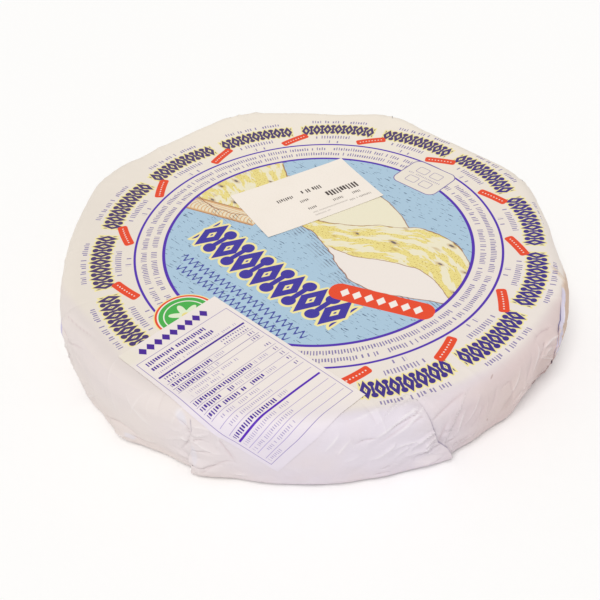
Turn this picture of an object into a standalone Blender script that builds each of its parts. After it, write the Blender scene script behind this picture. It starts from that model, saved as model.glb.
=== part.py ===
"""A whole wheel of soft blue cheese, shut in its printed paper wrap, with the two paper labels stuck on the wrap.

Metres, +Z up. The origin is the middle of the flat face that the wheel rests on.
-Y is the front, where the long label folds down over the rim.

wrapped_wheel   the cheese and the paper folded tight round it, one closed body
weight_label    the small label lying flat on the top
table_label     the long label with a ruled table, bent over the rim
"""

import math

import bpy
from mathutils import Vector

# ---- driving dimensions ---------------------------------------------------
MM = 0.001
HEIGHT = 40.5 * MM          # flat top to flat underside
BASE_RADIUS = 134.0 * MM    # the turned profile's radius, before the wrap is pulled round it
TOP_ROUND = 9.0 * MM        # rounding from the top into the side
FOOT_ROUND = 5.5 * MM       # rounding from the side into the underside
DRAFT = 1.4 * MM            # the side leans in by this much towards the foot
BULGE = 1.0 * MM            # how far the soft side swells between the two roundings

LAP = 0.7 * MM              # height of a pleat's folded edge
LAP_FADE = 20.0 * MM        # the lap sinks back into the side over this length
TURNS = 120                 # columns round the wheel

# The wrap is an eight-sided sheet, so eight pleats gather it down the side. Each pleat has: the angle in degrees where
# it starts under the rim and where it ends at the foot; half the width of the flattened corner there, in degrees; the
# outline's radius in mm at the corner and half-way to the next one; which neighbour lies on top (1 the next facet,
# -1 the one before); and how far below the edge of the flat top it opens, in mm of arc length.
PLEATS = [
    (-157.0, -148.0, 3.5, 132.5, 134.6, 1, 8.0),
    (-113.5, -114.5, 3.0, 134.6, 134.3, 1, 10.0),
    (-70.0, -63.5, 3.0, 135.3, 134.5, -1, 1.0),
    (-25.0, -34.5, 4.5, 136.6, 128.3, 1, 6.0),
    (22.0, 24.0, 5.0, 132.5, 128.6, 1, 6.0),
    (65.0, 67.0, 4.0, 136.6, 133.4, 1, 4.0),
    (106.0, 104.0, 4.0, 140.9, 134.0, -1, 8.0),
    (145.0, 148.0, 4.5, 135.5, 126.9, 1, 5.0),
]

LABEL_T = 0.30 * MM         # thickness of a label's solid
GAP = 0.40 * MM             # between a label and the wrap

# weight label: centre on the top, size and turn
WEIGHT_AT = (1.1 * MM, 38.3 * MM)
WEIGHT_SIZE = (71.0 * MM, 44.4 * MM)
WEIGHT_TURN = math.radians(27.6)
WEIGHT_CORNER = 0.8 * MM

# table label: the corner of its printed frame on the top, its turn, and the sheet round that corner
TABLE_AT = (-80.4 * MM, -90.3 * MM)
TABLE_TURN = math.radians(43.2)
TABLE_ACROSS = (-2.4 * MM, 56.8 * MM)
TABLE_DOWN = (-11.0 * MM, 89.0 * MM)


# ---- the wheel's surface ---------------------------------------------------
def outline_spans():
    """The outline in order round the wheel, as (start angle, end angle, radius at start, half-way, at end)."""
    spans = []
    for i, (top, foot, half, corner, middle, _, _) in enumerate(PLEATS):
        here = math.radians((top + foot) / 2)
        after = PLEATS[(i + 1) % len(PLEATS)]
        there = math.radians((after[0] + after[1]) / 2)
        if there < here:
            there += 2 * math.pi
        a, b = math.radians(half), math.radians(after[2])
        spans.append((here - a, here + a, corner * MM, corner * math.cos(a) * MM, corner * MM))
        spans.append((here + a, there - b, corner * MM, middle * MM, after[3] * MM))
    return spans


SPANS = outline_spans()


def outline(angle):
    """The wrapped wheel's radius at an angle: flattened corners at the pleats, and a shallow curve between them."""
    first = SPANS[0][0]
    angle = (angle - first) % (2 * math.pi) + first
    for start, end, r0, r1, r2 in SPANS:
        if start <= angle <= end:
            t = (angle - start) / (end - start)
            return r0 * (1 - t) * (1 - 2 * t) + 4 * r1 * t * (1 - t) + r2 * t * (2 * t - 1)
    return BASE_RADIUS


def stretches(radius):
    """Arc lengths from the top's middle to the end of the flat top, the top rounding, the side and the foot rounding."""
    side = math.hypot(HEIGHT - TOP_ROUND - FOOT_ROUND, DRAFT)
    a = radius - TOP_ROUND
    b = a + TOP_ROUND * math.pi / 2
    c = b + side
    return a, b, c, c + FOOT_ROUND * math.pi / 2


def section(s, radius):
    """Arc length along the paper, from the top's middle, to (distance from the axis, height, outward normal as (r, z))."""
    a, b, c, d = stretches(radius)
    if s <= a:
        return s, HEIGHT, (0.0, 1.0)
    if s <= b:
        t = (s - a) / TOP_ROUND
        return a + TOP_ROUND * math.sin(t), HEIGHT - TOP_ROUND * (1 - math.cos(t)), (math.sin(t), math.cos(t))
    if s <= c:
        t = (s - b) / (c - b)
        swell = BULGE * math.sin(math.pi * t)
        return radius - DRAFT * t + swell, HEIGHT - TOP_ROUND - (HEIGHT - TOP_ROUND - FOOT_ROUND) * t, (1.0, -0.03)
    if s <= d:
        t = (s - c) / FOOT_ROUND
        return radius - DRAFT - FOOT_ROUND * (1 - math.cos(t)), FOOT_ROUND * (1 - math.sin(t)), (math.cos(t), -math.sin(t))
    return max(radius - DRAFT - FOOT_ROUND - (s - d), 0.0), 0.0, (0.0, -1.0)


def smooth(x):
    x = min(max(x, 0.0), 1.0)
    return x * x * (3 - 2 * x)


def pleat_angle(pleat, s, radius):
    """Where a pleat's edge runs at an arc length s."""
    a, _, _, d = stretches(radius)
    opens = a + pleat[6] * MM
    t = min(max((s - opens) / (d - opens), 0.0), 1.0)
    return math.radians(pleat[0] + (pleat[1] - pleat[0]) * t)


def wrapped(angle):
    return (angle + math.pi) % (2 * math.pi) - math.pi


def lap(s, angle, radius):
    """How far the folded paper stands out at a point: a step at each pleat's edge that sinks back over LAP_FADE."""
    a, _, c, d = stretches(radius)
    shut = 1 - smooth((s - c) / (FOOT_ROUND * 1.2))
    out = 0.0
    for pleat in PLEATS:
        along = wrapped(angle - pleat_angle(pleat, s, radius)) * radius * pleat[5]
        if -1e-6 <= along < LAP_FADE:
            out += LAP * (1 - smooth(along / LAP_FADE)) * shut * smooth((s - a - pleat[6] * MM) / (10 * MM))
    return out


# ---- building --------------------------------------------------------------
def collection(name):
    made = bpy.data.collections.new(name)
    bpy.context.scene.collection.children.link(made)
    return made


def material(name, colour, roughness):
    made = bpy.data.materials.new(name)
    made.use_nodes = True
    shader = made.node_tree.nodes["Principled BSDF"]
    shader.inputs["Base Color"].default_value = (*colour, 1.0)
    shader.inputs["Roughness"].default_value = roughness
    shader.inputs["Metallic"].default_value = 0.0
    made.diffuse_color = (*colour, 1.0)
    return made


def baked(obj, name):
    """A plain mesh object from an object with modifiers, or from a curve, which it takes the place of."""
    bpy.context.view_layer.update()
    evaluated = obj.evaluated_get(bpy.context.evaluated_depsgraph_get())
    mesh = bpy.data.meshes.new_from_object(evaluated)
    new = bpy.data.objects.new(name, mesh)
    new.matrix_world = obj.matrix_world.copy()
    for owner in obj.users_collection:
        owner.objects.link(new)
    bpy.data.objects.remove(obj)
    return new


def turned_rows():
    """The arc lengths of the profile's points: few on the flat faces, close together where the section bends."""
    a, b, c, d = stretches(BASE_RADIUS)
    rows = [a * k for k in (0.30, 0.58, 0.80, 0.93)]
    rows += [a + (b - a) * k / 5 for k in range(6)]
    rows += [b + (c - b) * k / 4 for k in range(1, 5)]
    rows += [c + (d - c) * k / 3 for k in range(1, 4)]
    inner = BASE_RADIUS - DRAFT - FOOT_ROUND
    rows += [d + inner * k for k in (0.10, 0.35, 0.68)]
    return rows, d + inner


def turned_wheel(parts):
    """The plain wheel: its section turned about the axis."""
    rows, end = turned_rows()
    points = [section(s, BASE_RADIUS)[:2] for s in [0.0] + rows + [end]]
    mesh = bpy.data.meshes.new("wheel_section")
    mesh.from_pydata([(r, 0.0, z) for r, z in points], [(i, i + 1) for i in range(len(points) - 1)], [])
    wheel = bpy.data.objects.new("wheel_section", mesh)
    parts.objects.link(wheel)
    screw = wheel.modifiers.new("turn", "SCREW")
    screw.axis = "Z"
    screw.angle = 2 * math.pi
    screw.steps = TURNS
    screw.render_steps = TURNS
    screw.use_merge_vertices = True
    screw.merge_threshold = 0.00002
    return baked(wheel, "wrapped_wheel")


def columns(s, radius):
    """Knots that draw the plain turned columns onto the pleats' edges: (plain angle, drawn angle), in order.
    The column at an edge carries the lap and the one just behind it stays on the side."""
    step = 2 * math.pi / TURNS
    knots = []
    for pleat in PLEATS:
        at = pleat_angle(pleat, s, radius)
        middle = round(math.radians((pleat[0] + pleat[1]) / 2) / step)
        up = pleat[5]
        behind = middle * step
        front = (middle + up) * step
        pair = [(behind, at - up * 0.0045), (front, at)]
        far = [((middle - 5) * step,) * 2, ((middle + 5) * step,) * 2]
        knots += pair + far
    return sorted(knots)


def drawn(angle, knots):
    lo = [(a - 2 * math.pi, b - 2 * math.pi) for a, b in knots[-3:]]
    hi = [(a + 2 * math.pi, b + 2 * math.pi) for a, b in knots[:3]]
    chain = lo + knots + hi
    for (a0, b0), (a1, b1) in zip(chain, chain[1:]):
        if a0 <= angle <= a1:
            return b0 + (b1 - b0) * (angle - a0) / (a1 - a0) if a1 > a0 else b0
    return angle


def pull_wrap(wheel):
    """Turns the plain wheel into the wrapped one: its eight-sided outline, and the pleats' folded edges."""
    rows, end = turned_rows()
    table = [(s, section(s, BASE_RADIUS)[:2]) for s in rows]
    for v in wheel.data.vertices:
        r, z = math.hypot(v.co.x, v.co.y), v.co.z
        if r < 1e-5:
            continue
        base_s = min(table, key=lambda row: (row[1][0] - r) ** 2 + (row[1][1] - z) ** 2)[0]
        angle = math.atan2(v.co.y, v.co.x)
        angle = drawn(angle, columns(base_s, BASE_RADIUS))
        radius = outline(angle)
        a, _, _, d = stretches(BASE_RADIUS)
        if base_s <= a:
            s = base_s * (radius - TOP_ROUND) / a
        elif base_s <= d:
            s = base_s + radius - BASE_RADIUS
        else:
            inner = radius - DRAFT - FOOT_ROUND
            s = stretches(radius)[3] + (base_s - d) * inner / (end - d)
        rr, zz, (nr, nz) = section(s, radius)
        out = lap(s, angle, radius)
        rr += nr * out
        zz += nz * out
        v.co = Vector((rr * math.cos(angle), rr * math.sin(angle), max(zz, 0.0)))
    wheel.data.update()


def weight_label(parts):
    """A flat sheet with slightly rounded corners."""
    w, h = WEIGHT_SIZE
    curve = bpy.data.curves.new("weight_label", "CURVE")
    curve.dimensions = "2D"
    curve.fill_mode = "BOTH"
    curve.extrude = LABEL_T / 2
    spline = curve.splines.new("POLY")
    points = []
    for cx, cy, start in ((1, 1, 0), (-1, 1, 90), (-1, -1, 180), (1, -1, 270)):
        for k in range(4):
            t = math.radians(start + 30 * k)
            points.append((
                cx * (w / 2 - WEIGHT_CORNER) + WEIGHT_CORNER * math.cos(t),
                cy * (h / 2 - WEIGHT_CORNER) + WEIGHT_CORNER * math.sin(t),
            ))
    spline.points.add(len(points) - 1)
    for p, (x, y) in zip(spline.points, points):
        p.co = (x, y, 0.0, 1.0)
    spline.use_cyclic_u = True
    label = bpy.data.objects.new("weight_label_outline", curve)
    parts.objects.link(label)
    label.location = (*WEIGHT_AT, HEIGHT + GAP + LABEL_T / 2)
    label.rotation_euler = (0.0, 0.0, WEIGHT_TURN)
    made = baked(label, "weight_label")
    weld = made.modifiers.new("weld", "WELD")
    weld.merge_threshold = 0.00001
    return made


def table_label(parts):
    """A sheet laid on the wrap: a flat grid, each point carried by its arc length over the rim and down the side."""
    across, down = 16, 34
    (a0, a1), (b0, b1) = TABLE_ACROSS, TABLE_DOWN
    bpy.ops.mesh.primitive_grid_add(x_subdivisions=across, y_subdivisions=down, size=1.0)
    label = bpy.context.active_object
    label.name = "table_label"
    label.data.name = "table_label"
    for owner in list(label.users_collection):
        owner.objects.unlink(label)
    parts.objects.link(label)
    ca, sa = math.cos(TABLE_TURN), math.sin(TABLE_TURN)
    for v in label.data.vertices:
        a = a0 + (v.co.x + 0.5) * (a1 - a0)
        b = b0 + (0.5 - v.co.y) * (b1 - b0)
        x = TABLE_AT[0] + a * ca + b * sa
        y = TABLE_AT[1] + a * sa - b * ca
        angle = math.atan2(y, x)
        radius = outline(angle)
        r, z, (nr, nz) = section(math.hypot(x, y), radius)
        off = (GAP + lap(math.hypot(x, y), angle, radius)) / math.hypot(nr, nz)
        r += nr * off
        z += nz * off
        v.co = (r * math.cos(angle), r * math.sin(angle), z)
    thick = label.modifiers.new("thickness", "SOLIDIFY")
    thick.thickness = LABEL_T
    thick.offset = 1.0
    thick.use_even_offset = False
    return label


def main():
    for obj in list(bpy.data.objects):
        bpy.data.objects.remove(obj, do_unlink=True)
    parts = collection("blue_cheese_wheel")
    wheel = turned_wheel(parts)
    pull_wrap(wheel)
    weight = weight_label(parts)
    table = table_label(parts)
    wheel.data.materials.append(material("wrap_paper", (0.80, 0.75, 0.70), 0.55))
    weight.data.materials.clear()
    weight.data.materials.append(material("weight_label_paper", (0.90, 0.86, 0.82), 0.6))
    table.data.materials.append(material("table_label_paper", (0.88, 0.84, 0.82), 0.45))
    wheel.data.shade_smooth()
    wheel.data.set_sharp_from_angle(angle=math.radians(40))


main()
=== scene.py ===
"""The looks of a whole wheel of soft blue cheese in its printed paper wrap: the folded and crumpled paper as meshes,
the print and the two labels' print as node materials, a white studio floor, soft light and the camera."""

import math

import bpy
import numpy as np
from mathutils import Matrix, Vector


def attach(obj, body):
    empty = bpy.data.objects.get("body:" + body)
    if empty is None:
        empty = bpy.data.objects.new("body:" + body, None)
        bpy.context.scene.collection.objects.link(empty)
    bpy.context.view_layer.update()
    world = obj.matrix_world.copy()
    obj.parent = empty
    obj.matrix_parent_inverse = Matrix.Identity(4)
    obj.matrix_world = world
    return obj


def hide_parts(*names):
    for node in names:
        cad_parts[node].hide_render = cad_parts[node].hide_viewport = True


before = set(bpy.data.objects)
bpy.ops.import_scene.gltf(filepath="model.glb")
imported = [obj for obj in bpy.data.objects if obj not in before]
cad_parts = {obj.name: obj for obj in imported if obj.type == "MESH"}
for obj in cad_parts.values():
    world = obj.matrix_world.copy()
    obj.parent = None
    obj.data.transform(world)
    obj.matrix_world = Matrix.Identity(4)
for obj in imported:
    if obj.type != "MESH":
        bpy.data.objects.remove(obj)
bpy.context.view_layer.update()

MM = 0.001

# ---- the wheel, in millimetres, as the CAD has it --------------------------------------------------------------------
HEIGHT = 40.5
BASE_RADIUS = 134.0
TOP_ROUND = 9.0
FOOT_ROUND = 5.5
DRAFT = 1.4
BULGE = 1.0

# Each pleat: the path of its edge as (angle in degrees, arc length in mm from the top's middle); half the width of the
# flattened corner; the outline's radius at the corner and half-way to the next; which neighbour lies on top; how high
# the folded edge stands; and how far the free corner of the fold stands out at the foot.
PLEATS = [
    (((-158.0, 129), (-156.8, 134), (-153.0, 141), (-149.0, 154), (-147.0, 174)), 3.5, 132.5, 134.6, 1, 0.7, 0.6),
    (((-114.3, 133), (-113.7, 139), (-114.5, 145), (-114.0, 151), (-115.3, 157), (-114.9, 164), (-116.0, 174)), 3.0, 134.6, 134.3, 1, 0.5, 3.0),
    (((-70.6, 125), (-69.8, 134), (-68.6, 144), (-67.3, 154), (-65.2, 160), (-63.0, 172)), 3.0, 135.3, 134.5, -1, 0.8, 1.6),
    (((-24.3, 131), (-28.0, 135), (-31.5, 138), (-34.0, 146), (-35.0, 174)), 4.5, 136.6, 128.3, 1, 0.8, 0.7),
    (((21.5, 128), (22.5, 140), (24.0, 174)), 5.0, 132.5, 128.6, 1, 0.8, 1.0),
    (((64.5, 127), (66.0, 140), (67.5, 174)), 4.0, 136.6, 133.4, 1, 0.9, 1.4),
    (((106.5, 131), (105.0, 142), (104.0, 174)), 4.0, 140.9, 134.0, -1, 0.8, 0.8),
    (((144.5, 129), (146.0, 140), (148.5, 174)), 4.5, 135.5, 126.9, 1, 0.7, 1.2),
]
LAP_FADE = 20.0

PRINT_AT = (5.4, -3.3)          # the print's centre on the top

WEIGHT_AT = (1.1, 38.3)
WEIGHT_SIZE = (71.0, 44.4)
WEIGHT_TURN = math.radians(27.6)

TABLE_AT = (-80.4, -90.3)
TABLE_TURN = math.radians(43.2)
TABLE_ACROSS = (-2.2, 56.6)
TABLE_DOWN = (-11.0, 88.0)

COLUMNS = 1728                  # fine columns round the wheel; the middle of the top and the underside have fewer
TAU = 2 * math.pi


def smooth(x):
    x = np.clip(x, 0.0, 1.0)
    return x * x * (3 - 2 * x)


def wrapped(angle):
    return (angle + math.pi) % TAU - math.pi


def pleat_middle(pleat):
    path = pleat[0]
    return (path[0][0] + path[-1][0]) / 2


def make_outline():
    """The outline's radius at every tenth of a degree from -180: flattened corners at the pleats, shallow curves between,
    and every corner softened."""
    angles = np.arange(-1800, 1800) / 10.0
    radius = np.full(3600, BASE_RADIUS)
    n = len(PLEATS)
    for i, pleat in enumerate(PLEATS):
        here = pleat_middle(pleat)
        there = pleat_middle(PLEATS[(i + 1) % n])
        if there < here:
            there += 360
        a, b = pleat[1], PLEATS[(i + 1) % n][1]
        for start, end, r0, r1, r2 in (
            (here - a, here + a, pleat[2], pleat[2] * math.cos(math.radians(a)), pleat[2]),
            (here + a, there - b, pleat[2], pleat[3], PLEATS[(i + 1) % n][2]),
        ):
            t = ((angles - start) % 360) / (end - start)
            m = t <= 1
            t = t[m]
            radius[m] = r0 * (1 - t) * (1 - 2 * t) + 4 * r1 * t * (1 - t) + r2 * t * (2 * t - 1)
    kernel = np.exp(-0.5 * (np.arange(-60, 61) / 12.0) ** 2)
    kernel /= kernel.sum()
    padded = np.concatenate([radius[-60:], radius, radius[:60]])
    return np.convolve(padded, kernel, mode="valid")


OUTLINE = make_outline()


def outline(theta):
    at = (np.degrees(theta) + 180.0) % 360.0 * 10.0
    i = np.floor(at).astype(int) % 3600
    f = at - np.floor(at)
    return OUTLINE[i] * (1 - f) + OUTLINE[(i + 1) % 3600] * f


SIDE = math.hypot(HEIGHT - TOP_ROUND - FOOT_ROUND, DRAFT)
TO_SIDE = TOP_ROUND * math.pi / 2
TO_FOOT = TO_SIDE + SIDE
TO_UNDER = TO_FOOT + FOOT_ROUND * math.pi / 2


def section(s, radius):
    """Arc length along the paper to (distance from the axis, height, outward normal's r and z)."""
    a = radius - TOP_ROUND
    d = s - a
    t1 = np.clip(d / TOP_ROUND, 0, math.pi / 2)
    t2 = np.clip((d - TO_SIDE) / SIDE, 0, 1)
    t3 = np.clip((d - TO_FOOT) / FOOT_ROUND, 0, math.pi / 2)
    r = np.minimum(s, a) + TOP_ROUND * np.sin(t1) - DRAFT * t2 + BULGE * np.sin(math.pi * t2) - FOOT_ROUND * (1 - np.cos(t3))
    z = HEIGHT - TOP_ROUND * (1 - np.cos(t1)) - (HEIGHT - TOP_ROUND - FOOT_ROUND) * t2 - FOOT_ROUND * np.sin(t3)
    r = np.where(d > TO_UNDER, np.maximum(radius - DRAFT - FOOT_ROUND - (d - TO_UNDER), 0), r)
    turn = t1 + t3
    return r, z, np.sin(turn), np.cos(turn)


# ---- noise -------------------------------------------------------------------------------------------------------------
def lattice(ix, iy, seed):
    h = (ix.astype(np.int64) * 374761393 + iy.astype(np.int64) * 668265263 + seed * 974711) & 0xFFFFFFFF
    h = ((h ^ (h >> 13)) * 1274126177) & 0xFFFFFFFF
    h = ((h ^ (h >> 15)) * 2246822519) & 0xFFFFFFFF
    return ((h ^ (h >> 16)) & 0xFFFFFF) / float(0xFFFFFF) * 2 - 1


def soft_noise(x, y, cell, seed, period=None):
    """Smooth noise from -1 to 1. period is the length in x after which it repeats."""
    n = None if period is None else max(int(round(period / cell)), 1)
    cx = cell if n is None else period / n
    u, v = x / cx, y / cell
    i, j = np.floor(u), np.floor(v)
    f, g = smooth(u - i), smooth(v - j)
    i0, i1 = (i, i + 1) if n is None else (i % n, (i + 1) % n)
    a, b = lattice(i0, j, seed), lattice(i1, j, seed)
    c, d = lattice(i0, j + 1, seed), lattice(i1, j + 1, seed)
    return (a * (1 - f) + b * f) * (1 - g) + (c * (1 - f) + d * f) * g


def facet_noise(x, y, cell, seed, period=None):
    """Crumpled paper: flat three-sided facets that meet in creases, a few of them tall and most of them faint."""
    x = x + soft_noise(x, y, cell * 1.7, seed + 11, period) * cell * 0.55
    y = y + soft_noise(x, y, cell * 1.7, seed + 12, period) * cell * 0.55
    n = None if period is None else max(int(round(period / cell)), 1)
    cx = cell if n is None else period / n
    u, v = x / cx, y / cell
    i, j = np.floor(u), np.floor(v)
    f, g = u - i, v - j
    i0, i1 = (i, i + 1) if n is None else (i % n, (i + 1) % n)
    a, b = lattice(i0, j, seed) ** 3, lattice(i1, j, seed) ** 3
    c, d = lattice(i0, j + 1, seed) ** 3, lattice(i1, j + 1, seed) ** 3
    return np.where(f > g, a + (b - a) * f + (d - b) * g, a + (d - c) * f + (c - a) * g)


# ---- creases -----------------------------------------------------------------------------------------------------------
# The larger creases at the front, as they lie in the paper. Each: a pleat's number and the side of its edge that the
# crease is on (1 the side that lies on top), or None for one that is free of the pleats; height in mm, below 0 for a
# hollow; half-width in mm; lean from -1 to 1 for a steeper flank on one side; and the path as (angle, arc length).
CREASES = [
    # left of the middle pleat, where the wrap is pulled towards it
    ((2, 1), 0.42, 0.60, 0.7, ((-80.5, 136), (-78, 132), (-76, 129), (-74, 126), (-71.5, 123))),
    ((2, 1), 0.26, 0.55, 0.5, ((-75.5, 129.5), (-73, 128), (-71, 126))),
    ((2, 1), -0.24, 0.7, 0.0, ((-84.5, 143), (-82, 140.5), (-79.5, 140))),
    ((2, 1), -0.42, 0.8, 0.6, ((-79, 140.5), (-76.5, 137), (-74.5, 135), (-71, 133))),
    ((2, 1), 0.22, 0.8, 0.0, ((-75.5, 134.5), (-73.5, 132.5), (-71.5, 132))),
    ((2, 1), -0.16, 0.35, 0.0, ((-73.8, 131.5), (-72, 132), (-70.3, 134))),
    ((2, 1), -0.20, 0.8, 0.0, ((-73.5, 138.5), (-72, 136), (-70.3, 135))),
    ((2, 1), 1.05, 0.85, 0.5, ((-73.4, 156), (-72.6, 151.5), (-71, 148), (-69.5, 146), (-67.9, 145))),
    ((2, 1), 0.75, 0.70, 0.5, ((-70.6, 156), (-69.6, 151.5), (-67.6, 148.5))),
    ((2, 1), 0.45, 0.45, 0.0, ((-70.6, 158.5), (-69.5, 154.5), (-67.6, 153))),
    ((2, 1), -0.80, 0.60, -0.6, ((-72.3, 167.5), (-71.6, 160.5), (-70, 158.3), (-68.4, 156.6), (-66.6, 156.2))),
    ((2, 1), -0.20, 0.45, 0.0, ((-68.3, 168.5), (-65.3, 166))),
    ((2, 1), 0.24, 1.0, 0.3, ((-78.3, 151), (-76, 145.5))),
    ((2, 1), 0.26, 0.9, 0.3, ((-77.3, 158.5), (-75, 152.5), (-73.3, 150))),
    ((2, 1), 0.20, 1.0, 0.3, ((-82.3, 154.5), (-79, 152), (-77, 148))),
    ((None, 0), 0.16, 1.5, 0.3, ((-89.3, 145), (-86, 134))),
    ((None, 0), 0.16, 1.3, 0.3, ((-87, 147.5), (-84.3, 138))),
    ((None, 0), 0.12, 1.1, 0.3, ((-85.8, 152.5), (-82.3, 149))),
    ((2, 1), 0.16, 1.6, 0.2, ((-84.5, 146.5), (-78, 137.5), (-71, 130.5))),
    ((2, 1), -0.14, 1.4, 0.0, ((-82, 148), (-77, 140.5), (-72.5, 134.5))),
    ((2, 1), 0.13, 1.6, 0.2, ((-86.5, 132), (-82, 129.5), (-77.5, 127))),
    ((2, 1), 0.16, 1.3, 0.2, ((-79.5, 145.5), (-74, 137.5), (-69.3, 131))),
    ((2, 1), 0.22, 0.8, 0.3, ((-78, 151.5), (-75, 147.5), (-71, 148))),
    ((2, 1), 0.24, 0.8, 0.3, ((-76, 158), (-72, 155), (-68.5, 155.5))),
    # right of the middle pleat
    ((2, -1), 0.26, 0.45, 0.0, ((-69.3, 131), (-68.4, 127), (-66.8, 123.5))),
    ((2, -1), 0.20, 0.40, 0.0, ((-69.6, 128), (-69.0, 125), (-68.0, 122.5))),
    ((2, -1), -0.28, 1.4, 0.3, ((-68.4, 139), (-66, 136), (-63.5, 133.5), (-60, 132), (-56.5, 131.5))),
    ((2, -1), 0.62, 0.36, 0.4, ((-65.6, 158.5), (-64.8, 150), (-63.6, 142), (-62, 136), (-60, 132), (-58, 130.5))),
    ((2, -1), -0.30, 1.6, 0.0, ((-66.6, 156), (-65.8, 147), (-64.6, 140))),
    ((2, -1), 0.24, 1.1, 0.0, ((-62.7, 153), (-62.2, 146), (-61.5, 142), (-59.6, 137))),
    ((2, -1), -0.22, 0.7, 0.0, ((-65.2, 158), (-61.3, 157))),
    ((2, -1), 0.45, 0.5, 0.6, ((-64.2, 164.5), (-60, 162.5), (-56.2, 160.5))),
    ((None, 0), 0.12, 0.7, 0.0, ((-56, 152), (-55.7, 145), (-56, 137.5))),
    ((None, 0), -0.15, 1.3, 0.2, ((-59, 155.5), (-57.5, 148.5), (-56, 143.5))),
    ((None, 0), -0.16, 1.6, 0.2, ((-51.7, 160), (-49, 152.5), (-46, 144))),
    # the crumpled patch beside the right-hand pleat
    ((3, -1), -0.42, 0.9, 0.4, ((-41, 134), (-39, 132), (-37, 131.8), (-34.3, 134.2))),
    ((3, -1), 0.55, 1.3, 0.3, ((-39.6, 141), (-37, 138), (-33.8, 139.5))),
    ((3, -1), 0.40, 0.8, 0.0, ((-38.8, 146), (-37, 142.5), (-35.3, 144))),
    ((3, -1), -0.40, 0.8, 0.0, ((-41, 145), (-39, 141.5), (-37.8, 137))),
    ((None, 0), -0.22, 0.65, 0.4, ((-52.3, 142.5), (-50.5, 140.4), (-49, 141.5), (-48.5, 147), (-47.5, 156), (-46, 163))),
    ((None, 0), -0.34, 0.8, 0.4, ((-47.2, 156), (-45, 153), (-42.8, 153.5))),
    ((None, 0), 0.22, 0.8, 0.0, ((-46.8, 159), (-44.5, 156.5), (-42.6, 157))),
    # long soft ones down the right-hand side
    ((None, 0), -0.17, 1.2, 0.2, ((-42, 134), (-43, 142), (-44.5, 150))),
    ((None, 0), 0.16, 1.1, 0.3, ((-39.5, 133), (-40.5, 140), (-42.5, 148))),
    ((None, 0), 0.15, 1.2, 0.0, ((-46, 136), (-47.5, 144), (-50, 152))),
    ((None, 0), -0.15, 1.1, 0.3, ((-53, 136), (-53.5, 144), (-55, 154))),
    ((None, 0), 0.20, 0.8, 0.3, ((-44.5, 147), (-45, 153), (-47.5, 161))),
    ((None, 0), 0.16, 0.9, 0.0, ((-57.5, 134), (-59, 143), (-61, 150))),
    # above the right-hand pleat, and at the foot beside it
    ((None, 0), -0.45, 0.5, 0.3, ((-20.5, 130.0), (-22.5, 131.5), (-24.5, 132.6), (-26.5, 134.0))),
    ((None, 0), 0.40, 0.7, 0.3, ((-15.5, 124.5), (-17.0, 127.0), (-18.8, 129.5), (-20.0, 132.5))),
    ((None, 0), -0.60, 0.6, 0.3, ((-36.5, 158.2), (-34.5, 157.0), (-33.0, 156.2), (-31.5, 154.5))),
    # the left side
    ((0, 1), -0.18, 1.0, 0.0, ((-156.8, 128.5), (-152, 126.5), (-147, 124), (-143, 122.5))),
    ((0, 1), -0.18, 1.0, 0.0, ((-152.6, 137.5), (-148, 133), (-142.6, 130))),
    ((None, 0), 0.09, 1.5, 0.0, ((-133.7, 139), (-132, 151))),
    ((None, 0), 0.12, 1.8, 0.0, ((-129.8, 133), (-126, 143), (-123, 148))),
    ((None, 0), -0.60, 0.65, 0.6, ((-139.3, 165), (-135, 159.8), (-131, 158.2), (-127.5, 161.5), (-124.5, 163))),
    ((None, 0), 0.29, 0.8, 0.0, ((-137.3, 168), (-133.5, 166.5), (-130, 163.5))),
    ((1, 1), 0.14, 1.0, 0.2, ((-113.6, 137), (-109, 137), (-106, 141))),
    ((1, 1), 0.15, 0.9, 0.2, ((-113.8, 145.5), (-110.5, 150.5), (-106, 151))),
    ((1, 1), -0.16, 1.0, 0.2, ((-113.4, 167), (-108.5, 156), (-104.5, 156.5))),
    ((1, -1), 0.09, 1.1, 0.2, ((-121, 131.5), (-117.5, 134), (-114.8, 135.5))),
    ((1, -1), 0.08, 1.2, 0.2, ((-122, 140.5), (-118, 142.5), (-115, 142.5))),
    # both sides of the left-hand pleat
    ((1, -1), -0.24, 0.6, 0.3, ((-119.3, 134.5), (-117, 136), (-115.2, 138.5), (-114.5, 142.5))),
    ((1, -1), -0.34, 0.6, 0.3, ((-117.8, 158), (-115.7, 149.5), (-114.7, 145))),
    ((1, -1), 0.24, 0.7, 0.0, ((-118.6, 148), (-116.5, 146), (-114.9, 147))),
    ((1, 1), 0.36, 0.6, 0.4, ((-113.9, 142), (-112, 141), (-110.2, 138.8))),
    ((1, 1), -0.24, 0.5, 0.3, ((-114.1, 145.7), (-112.5, 144.6), (-110, 145.6))),
    ((1, 1), -0.30, 0.5, 0.3, ((-114.3, 152.2), (-112, 151.4), (-109, 150.4))),
    ((1, 1), -0.50, 0.7, 0.4, ((-115, 162), (-113, 163), (-110.5, 159.7), (-107.6, 157.5))),
    ((1, 1), -0.30, 1.5, 0.0, ((-108.8, 142), (-107, 150), (-105.6, 159))),
]


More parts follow.
